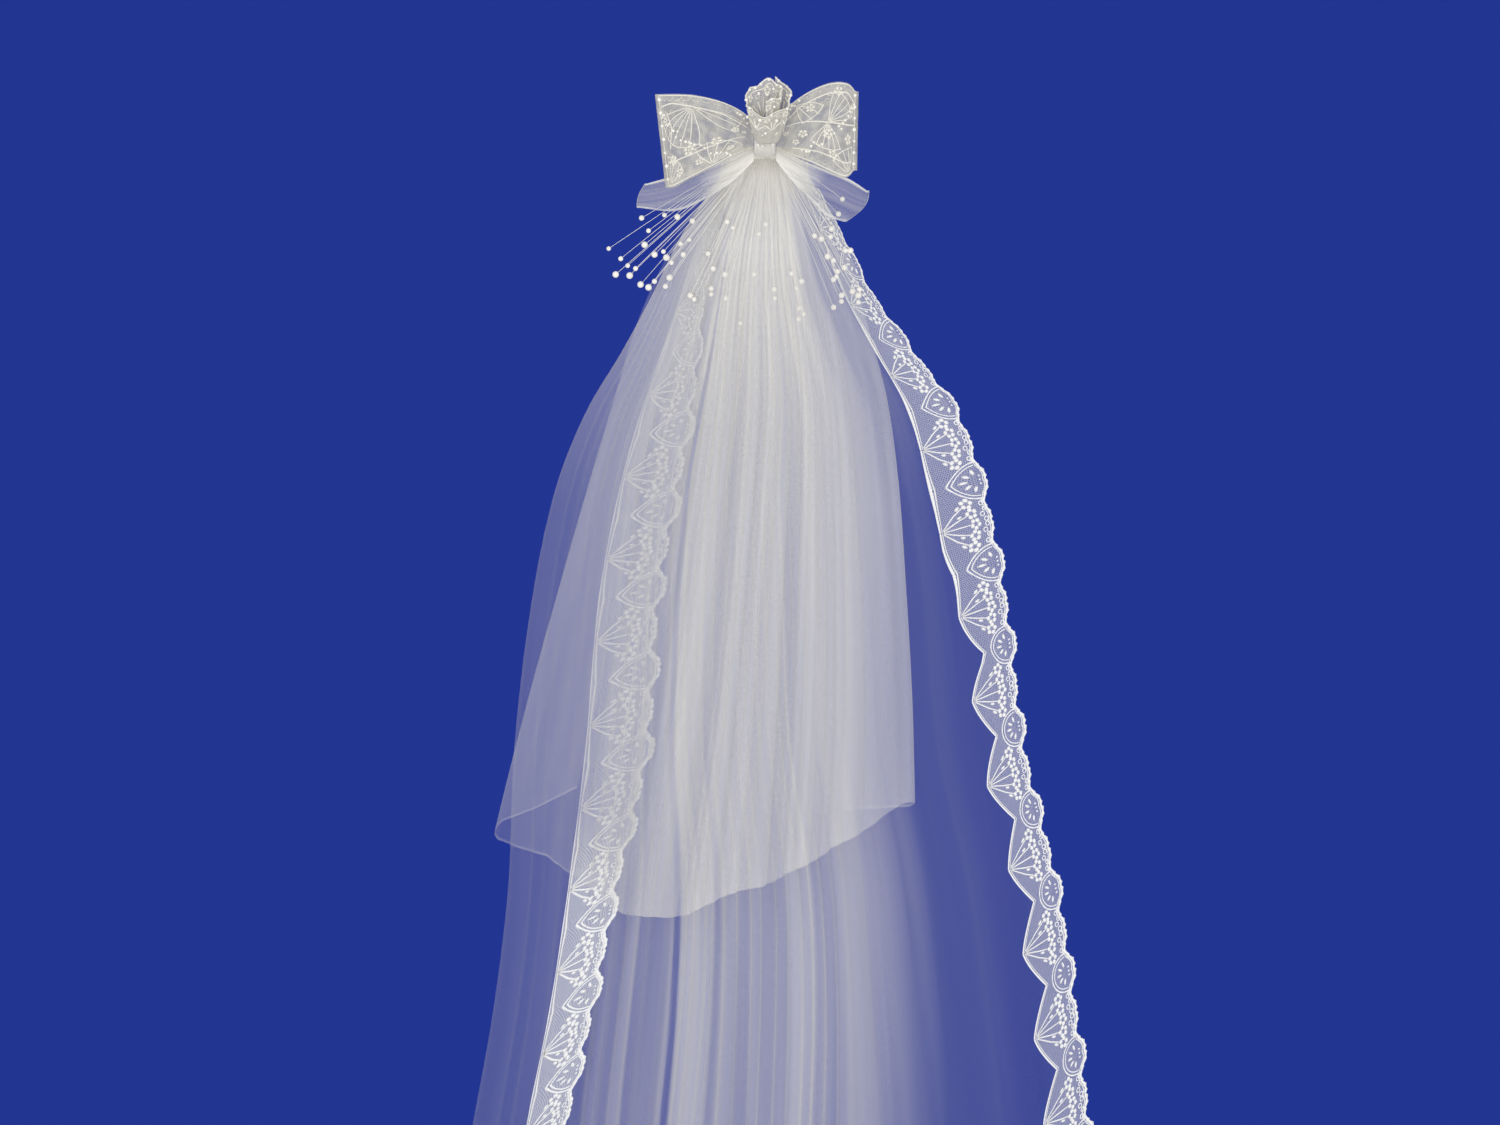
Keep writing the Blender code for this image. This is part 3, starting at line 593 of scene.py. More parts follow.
@dataclass(frozen=True)
class NetFinish:
    """The net ground that lace is embroidered on."""

    name: str
    colour: tuple[float, float, float]
    shade: tuple[float, float, float]
    open_cover: float
    thread_cover: float
    cells: float = 520.0
    patchy: float = 0.0
    follows_cover: bool = False
    roughness: float = 0.72
    sheen: float = 0.2

    def build(self, effects: Effects) -> bpy.types.Material:
        """Make the material from the shared effects."""
        made = bpy.data.materials.new(self.name)
        made.use_nodes = True
        wires = Nodes(made.node_tree)
        shader = made.node_tree.nodes["Principled BSDF"]
        cloth = wires.add("ShaderNodeUVMap", uv_map=CLOTH_MAP).outputs[0]
        net = wires.add("ShaderNodeGroup", node_tree=effects.net)
        wires.link(cloth, net.inputs["Map"])
        net.inputs["Cells a Metre"].default_value = self.cells
        net.inputs["Thread"].default_value = 0.16
        patches = wires.add("ShaderNodeTexNoise")
        patches.inputs["Scale"].default_value = 90.0
        wires.link(cloth, patches.inputs["Vector"])
        woven = wires.remap(net.outputs[0], 0.0, 1.0, self.open_cover, self.thread_cover)
        uneven = wires.remap(patches.outputs[0], 0.35, 0.65, 1.0 - self.patchy, 1.0 + self.patchy * 0.5)
        alpha = wires.math("MULTIPLY", woven, uneven, clamp=True)
        if self.follows_cover:
            share = wires.add("ShaderNodeAttribute", attribute_name=FULLNESS).outputs["Fac"]
            alpha = wires.math("MULTIPLY", alpha, share)
        wires.link(alpha, shader.inputs["Alpha"])
        wires.link(
            wires.blend(patches.outputs[0], rgba(self.shade), rgba(self.colour)),
            shader.inputs["Base Color"],
        )
        shader.inputs["Roughness"].default_value = self.roughness
        shader.inputs["Sheen Weight"].default_value = self.sheen
        bump = wires.add("ShaderNodeBump")
        bump.inputs["Strength"].default_value = 0.4
        bump.inputs["Distance"].default_value = 0.0004
        wires.link(net.outputs[0], bump.inputs["Height"])
        wires.link(bump.outputs[0], shader.inputs["Normal"])
        return made


@dataclass(frozen=True)
class ThreadFinish:
    """Raised embroidery thread, with its twist, and painted shade where the twist's height is low."""

    name: str
    colour: tuple[float, float, float]
    shade: tuple[float, float, float]
    follows_cover: bool = False
    roughness: float = 0.55
    sheen: float = 0.3

    def build(self, effects: Effects) -> bpy.types.Material:
        """Make the material from the shared effects."""
        made = bpy.data.materials.new(self.name)
        made.use_nodes = True
        wires = Nodes(made.node_tree)
        shader = made.node_tree.nodes["Principled BSDF"]
        twist = wires.add("ShaderNodeGroup", node_tree=effects.fibre)
        # Painted shade: the colour goes to the darker shade colour where the twist's height is low, in the same
        # hollows that the bump below shows.
        wires.link(
            wires.blend(twist.outputs[0], rgba(self.shade), rgba(self.colour)),
            shader.inputs["Base Color"],
        )
        if self.follows_cover:
            share = wires.add("ShaderNodeAttribute", attribute_name=FULLNESS).outputs["Fac"]
            wires.link(share, shader.inputs["Alpha"])
        shader.inputs["Roughness"].default_value = self.roughness
        shader.inputs["Sheen Weight"].default_value = self.sheen
        bump = wires.add("ShaderNodeBump")
        bump.inputs["Strength"].default_value = 0.5
        bump.inputs["Distance"].default_value = 0.0003
        wires.link(twist.outputs[0], bump.inputs["Height"])
        wires.link(bump.outputs[0], shader.inputs["Normal"])
        return made


@dataclass(frozen=True)
class GlossFinish:
    """A smooth moulded finish with a faint cloudiness: pearls, wire and comb plastic."""

    name: str
    colour: tuple[float, float, float]
    shade: tuple[float, float, float]
    roughness: float
    coat: float
    cloud_scale: float
    transmission: float = 0.0

    def build(self) -> bpy.types.Material:
        """Make the material."""
        made = bpy.data.materials.new(self.name)
        made.use_nodes = True
        wires = Nodes(made.node_tree)
        shader = made.node_tree.nodes["Principled BSDF"]
        place = wires.add("ShaderNodeTexCoord")
        clouds = wires.add("ShaderNodeTexNoise")
        clouds.inputs["Scale"].default_value = self.cloud_scale
        clouds.inputs["Detail"].default_value = 3.0
        wires.link(place.outputs["Object"], clouds.inputs["Vector"])
        tone = wires.remap(clouds.outputs[0], 0.3, 0.7, 0.0, 1.0)
        wires.link(wires.blend(tone, rgba(self.shade), rgba(self.colour)), shader.inputs["Base Color"])
        rough = wires.remap(clouds.outputs[0], 0.3, 0.7, self.roughness * 0.8, self.roughness * 1.25)
        wires.link(rough, shader.inputs["Roughness"])
        shader.inputs["Coat Weight"].default_value = self.coat
        shader.inputs["Coat Roughness"].default_value = 0.12
        shader.inputs["Transmission Weight"].default_value = self.transmission
        return made


def smooth_read(places: np.ndarray, values: np.ndarray, at: np.ndarray) -> np.ndarray:
    """Read a smooth curve through a few rows of values.

    Args:
        places: Rising places of the rows.
        values: One row of numbers for each place.
        at: Where to read.

    Returns:
        The numbers at each asked place, held beyond both ends.
    """
    count = len(places)
    low = np.maximum(np.arange(count) - 1, 0)
    high = np.minimum(np.arange(count) + 1, count - 1)
    slopes = (values[high] - values[low]) / (places[high] - places[low])[:, None]
    at = np.clip(at, places[0], places[-1])
    k = np.clip(np.searchsorted(places, at, side="right") - 1, 0, count - 2)
    span = (places[k + 1] - places[k])[..., None]
    t = (at - places[k])[..., None] / span
    ease_in = t * t * t - 2 * t * t + t
    ease_out = t * t * t - t * t
    blend = t * t * (3 - 2 * t)
    bend = span * (slopes[k] * ease_in + slopes[k + 1] * ease_out)
    return values[k] + blend * (values[k + 1] - values[k]) + bend


def as_rows(table: Sequence[object]) -> np.ndarray:
    """A table of named rows as plain numbers."""
    return np.array([astuple(row) for row in table])


class Surface:
    """A grid of points that can be read between its points, and a little past its edges."""

    def __init__(self, points: np.ndarray, facing: float = 1.0) -> None:
        """Keep the points and work out their normals.

        Args:
            points: Places as [along, across, 3].
            facing: 1 or -1, to choose the side that the normals stand on.
        """
        self.points = points
        along = np.gradient(points, axis=0)
        across = np.gradient(points, axis=1)
        normals = np.cross(along, across) * facing
        length = np.linalg.norm(normals, axis=2, keepdims=True)
        self.normals = normals / np.maximum(length, 1e-12)

    def read(self, along: np.ndarray, across: np.ndarray, height: np.ndarray) -> np.ndarray:
        """Find places on the surface.

        Args:
            along: Place along, counted in rows of the grid.
            across: Place across, counted in columns of the grid.
            height: Distance off the surface.

        Returns:
            The points.
        """
        rows, columns = self.points.shape[:2]
        i = np.clip(np.floor(along).astype(int), 0, rows - 2)
        j = np.clip(np.floor(across).astype(int), 0, columns - 2)
        a = (along - i)[..., None]
        b = (across - j)[..., None]
        inner_a = np.clip(a, 0.0, 1.0)
        inner_b = np.clip(b, 0.0, 1.0)

        def mix(table: np.ndarray, a: np.ndarray, b: np.ndarray) -> np.ndarray:
            near = table[i, j] * (1 - a) + table[i + 1, j] * a
            far = table[i, j + 1] * (1 - a) + table[i + 1, j + 1] * a
            return near * (1 - b) + far * b

        normal = mix(self.normals, inner_a, inner_b)
        return mix(self.points, a, b) + normal * height[..., None]


def set_cloth_map(mesh: bpy.types.Mesh, cloth: np.ndarray) -> None:
    """Give a mesh its cloth map: metres across and down the flat cloth, one pair a vertex."""
    layer = mesh.uv_layers.new(name=CLOTH_MAP)
    corners = np.empty(len(mesh.loops), dtype=np.int32)
    mesh.loops.foreach_get("vertex_index", corners)
    layer.data.foreach_set("uv", cloth[corners].astype(np.float32).ravel())


def sheet_object(
    name: str,
    points: np.ndarray,
    cloth: np.ndarray,
    finish: bpy.types.Material,
    cover: np.ndarray | None = None,
) -> bpy.types.Object:
    """Make an open sheet from a grid of points.

    Args:
        name: The piece's name.
        points: Places as [i, j, 3].
        cloth: The flat cloth's place of each point, as [i, j, 2].
        finish: Its material.
        cover: How much each point hides of what is behind it, as [i, j].

    Returns:
        The new object, smooth shaded.
    """
    across, down = points.shape[0] - 1, points.shape[1] - 1
    grid = bmesh.new()
    bmesh.ops.create_grid(grid, x_segments=across, y_segments=down, size=1.0)
    mesh = bpy.data.meshes.new(name)
    grid.to_mesh(mesh)
    grid.free()
    mesh.vertices.foreach_set("co", points.transpose(1, 0, 2).astype(np.float32).ravel())
    set_cloth_map(mesh, cloth.transpose(1, 0, 2).reshape(-1, 2))
    if cover is not None:
        shade = mesh.attributes.new(FULLNESS, "FLOAT", "POINT")
        shade.data.foreach_set("value", cover.T.astype(np.float32).ravel())
    mesh.update()
    return place_object(name, mesh, finish)


def place_object(name: str, mesh: bpy.types.Mesh, finish: bpy.types.Material) -> bpy.types.Object:
    """Link a smooth-shaded object of a mesh to the scene, riding on the veil."""
    mesh.shade_smooth()
    made = bpy.data.objects.new(name, mesh)
    made.data.materials.append(finish)
    bpy.context.scene.collection.objects.link(made)
    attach(made, BODY)
    log.info("%s: %d faces", name, len(mesh.polygons))
    return made


class ThreadWork:
    """Cords, rings, petals and beads laid out flat, later warped onto a surface.

    Flat places are (along, inward, height) in metres.
    """

    def __init__(self) -> None:
        """Start with nothing."""
        self.bench = bmesh.new()

    def cord(self, path: Sequence[Sequence[float]], radius: float, sides: int = 4, beads: int = 0) -> None:
        """Lay a round cord along a path.

        Args:
            path: Flat (along, inward) places.
            radius: The cord's radius.
            sides: Faces round it.
            beads: How many small swellings it has, like a row of knots.
        """
        line = np.asarray(path, dtype=float)
        count = len(line)
        if line.shape[1] == 2:
            line = np.column_stack([line, np.zeros(count)])
        ahead = np.gradient(line, axis=0)
        ahead /= np.maximum(np.linalg.norm(ahead, axis=1, keepdims=True), 1e-12)
        sideways = np.column_stack([-ahead[:, 1], ahead[:, 0], np.zeros(count)])
        size = np.full(count, radius)
        if beads:
            size *= 0.75 + 0.45 * np.abs(np.sin(np.linspace(0.0, math.pi * beads, count)))
        order = [0, *range(count), count - 1]
        made = bmesh.ops.create_grid(self.bench, x_segments=sides, y_segments=count + 1, size=1.0)["verts"]
        for n, vert in enumerate(made):
            j, i = divmod(n, sides + 1)
            k = order[j]
            wide = 0.0 if j in (0, count + 1) else size[k]
            angle = 2 * math.pi * (i % sides + 0.5) / sides
            out = sideways[k] * math.cos(angle) * wide
            vert.co = Vector(line[k] + out + np.array((0.0, 0.0, math.sin(angle) * wide)))

    def arc(self, centre: Sequence[float], radius: float, start_deg: float, end_deg: float, thick: float,
            steps: int = 12, beads: int = 0) -> None:
        """Lay a cord along part of a circle."""
        angles = np.radians(np.linspace(start_deg, end_deg, steps + 1))
        path = np.column_stack([centre[0] + radius * np.cos(angles), centre[1] + radius * np.sin(angles)])
        self.cord(path, thick, 4, beads)

    def ring(self, centre: Sequence[float], radius: float, thick: float) -> None:
        """Lay a closed small ring."""
        self.arc(centre, radius, 0.0, 372.0, thick, 9)

    def petal(self, start: Sequence[float], end: Sequence[float], width: float) -> None:
        """Lay one leaf-shaped satin stitch from start to end."""
        made = bmesh.ops.create_icosphere(self.bench, subdivisions=1, radius=1.0)["verts"]
        a = Vector((start[0], start[1], 0.0))
        b = Vector((end[0], end[1], 0.0))
        ahead = b - a
        sideways = Vector((-ahead.y, ahead.x, 0.0)).normalized()
        for vert in made:
            x, y, z = vert.co
            vert.co = (
                (a + b) / 2
                + ahead * (x / 2)
                + sideways * (y * width / 2)
                + Vector((0.0, 0.0, z * width * 0.3))
            )

    def flower(self, centre: Sequence[float], size: float, turn_deg: float = 0.0, petals: int = 5) -> None:
        """Lay a small flower of leaf-shaped petals."""
        for k in range(petals):
            angle = math.radians(turn_deg) + 2 * math.pi * k / petals
            near = (centre[0] + size * 0.12 * math.cos(angle), centre[1] + size * 0.12 * math.sin(angle))
            far = (centre[0] + size * 0.5 * math.cos(angle), centre[1] + size * 0.5 * math.sin(angle))
            self.petal(near, far, size * 0.42)

    def bead(self, centre: Sequence[float], radius: float) -> None:
        """Lay one small round knot."""
        place = Matrix.Translation((centre[0], centre[1], 0.0))
        bmesh.ops.create_icosphere(self.bench, subdivisions=1, radius=radius, matrix=place)

    def finish(self, name: str) -> bpy.types.Mesh:
        """Close the cords, turn all faces outwards and return the flat mesh."""
        bmesh.ops.remove_doubles(self.bench, verts=self.bench.verts[:], dist=1e-6)
        bmesh.ops.recalc_face_normals(self.bench, faces=self.bench.faces[:])
        mesh = bpy.data.meshes.new(name)
        self.bench.to_mesh(mesh)
        self.bench.free()
        return mesh


def mesh_places(mesh: bpy.types.Mesh) -> np.ndarray:
    """The places of a mesh's vertices."""
    flat = np.empty(len(mesh.vertices) * 3, dtype=np.float32)
    mesh.vertices.foreach_get("co", flat)
    return flat.reshape(-1, 3).astype(float)


def repeat_mesh(name: str, unit: bpy.types.Mesh, shifts: Sequence[float]) -> bpy.types.Mesh:
    """Lay a flat unit again and again along its first direction.

    Args:
        name: The new mesh's name.
        unit: The flat mesh to repeat.
        shifts: How far along each copy goes.

    Returns:
        One mesh with all the copies.
    """
    bench = bmesh.new()
    for _ in shifts:
        bench.from_mesh(unit)
    made = bpy.data.meshes.new(name)
    bench.to_mesh(made)
    bench.free()
    places = mesh_places(made)
    places[:, 0] += np.repeat(np.asarray(shifts), len(unit.vertices))
    made.vertices.foreach_set("co", places.astype(np.float32).ravel())
    return made


@dataclass
class Tier:
    """One panel of tulle, drawn in at its gather, on the form of its solid, with finer pleats of its own."""

    name: str
    rails: tuple[Rail, ...]
    folds: tuple[Fold, ...]
    hem: tuple[HemPoint, ...]
    layers: tuple[LayerPoint, ...]
    flat: tuple[float, float]
    cloth_area: float
    seed: int
    turned_layers: float
    reference_width: float
    rows: int = 150
    fine_per_fold: int = 20
    strip_steps: int = 12
    return_steps: int = 8
    turn_steps: int = 12
    top_share: float = 1.0
    one_layer: float = 0.10
    least_facing: float = 0.34
    slant_power: float = 0.62
    hem_cover: float = 0.22
    points: np.ndarray = field(init=False)
    cover: np.ndarray = field(init=False)
    cloth: np.ndarray = field(init=False)

    def __post_init__(self) -> None:
        """Work out every point of the panel."""
        self.has_return = self.rails[0].right_edge != self.rails[0].right_fold
        self._lay_out()

    def _places(self) -> np.ndarray:
        """The column of the solid's own coarse grid that each fine column stands for."""
        pleats = len(self.folds) * 5
        stretches = [(3, self.strip_steps), (2, self.return_steps), (4, self.turn_steps)]
        stretches.append((pleats, len(self.folds) * self.fine_per_fold))
        if self.has_return:
            stretches += [(4, self.turn_steps), (2, self.return_steps)]
        else:
            stretches.append((3, self.strip_steps))
        places = [0.0]
        for coarse, fine in stretches:
            start = places[-1]
            places += [start + coarse * (k + 1) / fine for k in range(fine)]
        return np.array(places)

    def _pleats(self, drop: float, swing: float, draws: np.ndarray) -> tuple[np.ndarray, np.ndarray]:
        """Walk along the pleats of unit cloth at one drop.

        Args:
            drop: How far below the gather.
            swing: The rail's share of each pleat's swing.
            draws: Random numbers of each fold.

        Returns:
            Level x and y of each fine column.
        """
        sub = 2
        steps = self.fine_per_fold * sub
        phase = 2 * math.pi * (np.arange(steps) + 0.5) / steps
        strides = []
        headings = []
        for fold, draw in zip(self.folds, draws):
            sway = 1.0 + 0.10 * math.sin(2 * math.pi * (drop / 0.7 + draw[0]))
            share = fold.share * (1.0 + 0.07 * math.sin(2 * math.pi * (drop / 0.9 + draw[1])))
            extra = 0.36 * (draw[2] - 0.5) * np.sin(2 * phase) + 0.34 * (draw[3] - 0.35) * np.sin(3 * phase)
            fine = 0.12 * (draw[4] - 0.4) * np.sin(5 * phase)
            base = math.radians(fold.swing_deg) * swing * sway
            headings.append(np.clip(base * (np.sin(phase) + extra + fine), -1.40, 1.40))
            strides.append(np.full(steps, share / steps))
        heading = np.concatenate(headings)
        stride = np.concatenate(strides)
        x = np.concatenate([[0.0], np.cumsum(stride * np.cos(heading))])[::sub]
        y = np.concatenate([[0.0], -np.cumsum(stride * np.sin(heading))])[::sub]
        return x, y

    def _section(self, rail: np.ndarray, drop: float, draws: np.ndarray) -> np.ndarray:
        """The level (x, y) places of all fine columns at one drop."""
        _, left_edge, left_fold, right_fold, right_edge, main_y, turned_y, swing = rail
        radius = abs(main_y - turned_y) / 2
        middle = (main_y + turned_y) / 2
        towards = 1.0 if turned_y < main_y else -1.0
        inner_left = left_fold + radius
        strip_end = left_edge + 0.54 * (inner_left - left_edge)
        turn = np.linspace(-math.pi / 2, math.pi / 2, self.turn_steps + 1)[1:]

        xs = [np.linspace(left_edge, strip_end, self.strip_steps + 1)]
        xs.append(np.linspace(strip_end, inner_left, self.return_steps + 1)[1:])
        xs.append(inner_left - radius * np.cos(turn))
        ys = [np.full(self.strip_steps + 1 + self.return_steps, turned_y)]
        ys.append(middle + towards * radius * np.sin(turn))

        right_strip = min(LACE_STRIP, 0.12 * (right_fold - left_fold))
        inner_right = right_fold - (radius if self.has_return else right_strip)
        row_x, row_y = self._pleats(drop, swing, draws)
        scale = (inner_right - inner_left) / row_x[-1]
        xs.append(inner_left + row_x[1:] * scale)
        ys.append(main_y + row_y[1:] * scale)
        if self.has_return:
            xs.append(inner_right + radius * np.cos(turn))
            xs.append(np.linspace(inner_right, right_edge, self.return_steps + 1)[1:])
            ys.append(middle - towards * radius * np.sin(turn))
            ys.append(np.full(self.return_steps, turned_y))
        else:
            xs.append(np.linspace(inner_right, right_edge, self.strip_steps + 1)[1:])
            ys.append(np.full(self.strip_steps, main_y))
        return np.column_stack([np.concatenate(xs), np.concatenate(ys)])

    def _lay_out(self) -> None:
        """Fill in the panel's points, its cloth map and how much it covers."""
        rng = np.random.default_rng(self.seed)
        draws = rng.random((len(self.folds), 5))
        places = self._places()
        rails = as_rows(self.rails)
        hems = as_rows(self.hem)
        ends = smooth_read(hems[:, 0], hems, places / places[-1])[:, 1]
        depth = ends.max()
        drops = np.linspace(0.0, 1.0, 260) ** 1.3 * depth
        read = smooth_read(rails[:, 0], rails, drops)
        sections = np.array([self._section(rail, drop, draws) for rail, drop in zip(read, drops)])
        levels = np.concatenate([np.linspace(0.0, 1.0, self.rows - 2) ** 1.15 * 0.9955, [0.9980, 1.0]])

        columns = len(places)
        points = np.empty((columns, len(levels), 3))
        for i in range(columns):
            drop = levels * ends[i]
            points[i, :, 0] = np.interp(drop, drops, sections[:, i, 0])
            points[i, :, 1] = np.interp(drop, drops, sections[:, i, 1])
            points[i, :, 2] = -drop
        self.points = points
        self.places = places
        self._shade(rails, ends)

    def _shade(self, rails: np.ndarray, ends: np.ndarray) -> None:
        """Work out the cloth map, and the cover from the layers and the slant of the pleats."""
        points = self.points
        low = points[:, -1, :]
        steps = np.linalg.norm(np.diff(low, axis=0), axis=1)
        across = np.concatenate([[0.0], np.cumsum(steps)])
        down = -points[:, :, 2]
        self.cloth = np.stack([np.broadcast_to(across[:, None], down.shape), down], axis=2)

        read = smooth_read(rails[:, 0], rails, down)
        width = read[..., 3] - read[..., 2]
        share = (points[:, :, 0] - read[..., 2]) / width
        table = as_rows(self.layers)
        layers = np.interp(share, table[:, 0], table[:, 1])
        turned = np.abs(points[:, :, 1] - read[..., 6]) < np.abs(points[:, :, 1] - read[..., 5])
        edge_count = self.strip_steps + self.return_steps + self.turn_steps // 2
        index = np.arange(len(points))
        folded = index < edge_count
        if self.has_return:
            folded = folded | (index > len(points) - 1 - self.return_steps - self.turn_steps // 2)
        layers = np.where(folded[:, None] & turned, self.turned_layers, layers)
        layers = layers * self.reference_width / width * self._fold_tones()[:, None]

        slope = np.gradient(points, axis=0)
        level = np.hypot(slope[:, :, 0], slope[:, :, 1])
        facing = np.abs(slope[:, :, 0]) / np.maximum(level, 1e-9)
        slant = 1.0 / np.maximum(facing, self.least_facing) ** self.slant_power
        thin = self.top_share + (1 - self.top_share) * np.clip((down - 0.10) / 0.26, 0.0, 1.0)
        self.cover = 1.0 - (1.0 - self.one_layer) ** (layers * slant * thin)
        self.cover[:, -2:] = np.maximum(self.cover[:, -2:], self.hem_cover)

    def _fold_tones(self) -> np.ndarray:
        """How many times the usual layers each column holds: one value a fold, with quick changes between."""
        tones = 0.70 + 0.60 * np.random.default_rng(self.seed + 100).random(len(self.folds) + 1)
        place = np.clip((self.places - 9.0) / 5.0, 0.0, len(self.folds) - 0.001)
        fold = place.astype(int)
        change = np.clip((place - fold - 0.75) / 0.25, 0.0, 1.0)
        change = change * change * (3 - 2 * change)
        return tones[fold] + (tones[fold + 1] - tones[fold]) * change

    def make(self, finish: bpy.types.Material) -> bpy.types.Object:
        """Make the panel's object, log its hem's length and hide its solid."""
        made = sheet_object(self.name + "_cloth", self.points, self.cloth, finish, self.cover)
        log.info("%s hem runs %.3f m", self.name, self.cloth[-1, 0, 0])
        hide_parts(self.name)
        return made


@dataclass(frozen=True)
class Galloon:
    """The edging lace's pattern: one repeat holds a large and a small lobe, and a tip inside."""

    repeat: float = LACE_REPEAT
    strip: float = LACE_STRIP
    large_lobe: float = 0.22
    small_lobe: float = 0.12
    notch: float = 0.52
    edge_cord: float = 0.0020
    line_cord: float = 0.00085
    inner_cord: float = 1.5
    flower: float = 0.0124

    def outer(self, along: np.ndarray) -> np.ndarray:
        """How far in the outer edge lies: negative where a lobe stands out."""
        wave = np.cos(2 * math.pi * np.asarray(along) / self.repeat)
        lobes = (
            self.large_lobe * np.maximum(0.0, wave) ** 0.8
            + self.small_lobe * np.maximum(0.0, -wave) ** 0.8
        )
        small = 0.035 * np.abs(np.sin(6 * math.pi * np.asarray(along) / self.repeat))
        return -self.strip * (lobes + small)

    def inner(self, along: np.ndarray) -> np.ndarray:
        """How far in the lace reaches: a notch at each large lobe, then a blunt tip."""
        phase = np.mod(np.asarray(along) / self.repeat, 1.0)
        wave = 0.45 * np.sin(math.pi * phase) + 0.55 * (1 - np.abs(1 - 2 * phase))
        return self.strip * (self.notch + (1 - self.notch) * wave)

    def unit(self) -> bpy.types.Mesh:
        """Build the thread work of one repeat, from one large lobe's middle to the next."""
        work = ThreadWork()
        mm = MILLIMETRE
        half = self.repeat / 2
        along = np.linspace(-half, half, 57)
        work.cord(np.column_stack([along, self.outer(along)]), self.edge_cord, 4, beads=14)
        work.cord(np.column_stack([along, self.outer(along) + 3.0 * mm]), self.line_cord * 1.1, 3)
        for k in range(14):
            s = -half + self.repeat * (k + 0.5) / 14
            work.bead((s, float(self.outer(s)) - 1.2 * mm), 1.5 * mm)
        work.cord(np.column_stack([along, self.inner(along)]), self.line_cord * self.inner_cord, 4, beads=26)
        work.cord(np.column_stack([along, self.inner(along) - 2.2 * mm]), self.line_cord * 0.7, 3)
        self._shell(work)
        for offset, side in ((0.0, -1), (11.0, -1), (11.0, 1), (21.5, -1), (21.5, 1)):
            self._ray(work, offset * mm, side)
        self._scatter(work)
        return work.finish("galloon_unit")

    def _shell(self, work: ThreadWork) -> None:
        """A domed shell on the large lobe: two beaded rims round short satin bars."""
        mm = MILLIMETRE
        centre = (0.0, -1.0 * mm)
        work.arc(centre, 18.5 * mm, -6.0, 186.0, self.line_cord, 26, 18)
        work.arc(centre, 15.5 * mm, -2.0, 182.0, self.line_cord * 0.8, 22)
        for k in range(5):
            angle = math.radians(18.0 + 144.0 * k / 4)
            near = (centre[0] + 5.5 * mm * math.cos(angle), centre[1] + 5.5 * mm * math.sin(angle))
            far = (centre[0] + 12.5 * mm * math.cos(angle), centre[1] + 12.5 * mm * math.sin(angle))
            work.petal(near, far, 2.9 * mm)
        for k in range(3):
            work.petal(((4 * k - 5.2) * mm, -4.5 * mm), ((4 * k - 2.8) * mm, -4.5 * mm), 2.8 * mm)

    def _ray(self, work: ThreadWork, offset: float, side: int) -> None:
        """A ray from an inner tip to a flower near the lobes, and the flower.

        Args:
            work: Where it is laid.
            offset: How far along from the tip the flower lies.
            side: -1 for the tip at the unit's start, 1 for the one at its end.
        """
        mm = MILLIMETRE
        tip = side * self.repeat / 2
        place = (tip - side * offset, (11.0 + offset * 130.0) * mm)
        root = (tip - side * offset * 0.08, self.strip - 4.0 * mm)
        middle = ((root[0] + place[0]) / 2 - side * offset * 0.05, (root[1] + place[1]) / 2)
        end = (place[0] + (middle[0] - place[0]) * 0.22, place[1] + (middle[1] - place[1]) * 0.22)
        work.cord([root, middle, end], self.line_cord)
        work.flower(place, self.flower, offset * 9000.0)

    def _scatter(self, work: ThreadWork) -> None:
        """Rings along the outer edge, and small leaves by the notch."""
        mm = MILLIMETRE
        for side in (-1, 1):
            for s, w in ((23, 1), (29, -1), (34, 2), (39.5, -1)):
                work.ring((side * s * mm, w * mm), 2.2 * mm, 0.75 * mm)
            work.petal((side * 21 * mm, 20 * mm), (side * 25 * mm, 26 * mm), 3.0 * mm)
            work.petal((side * 31 * mm, 22 * mm), (side * 33 * mm, 28 * mm), 2.8 * mm)


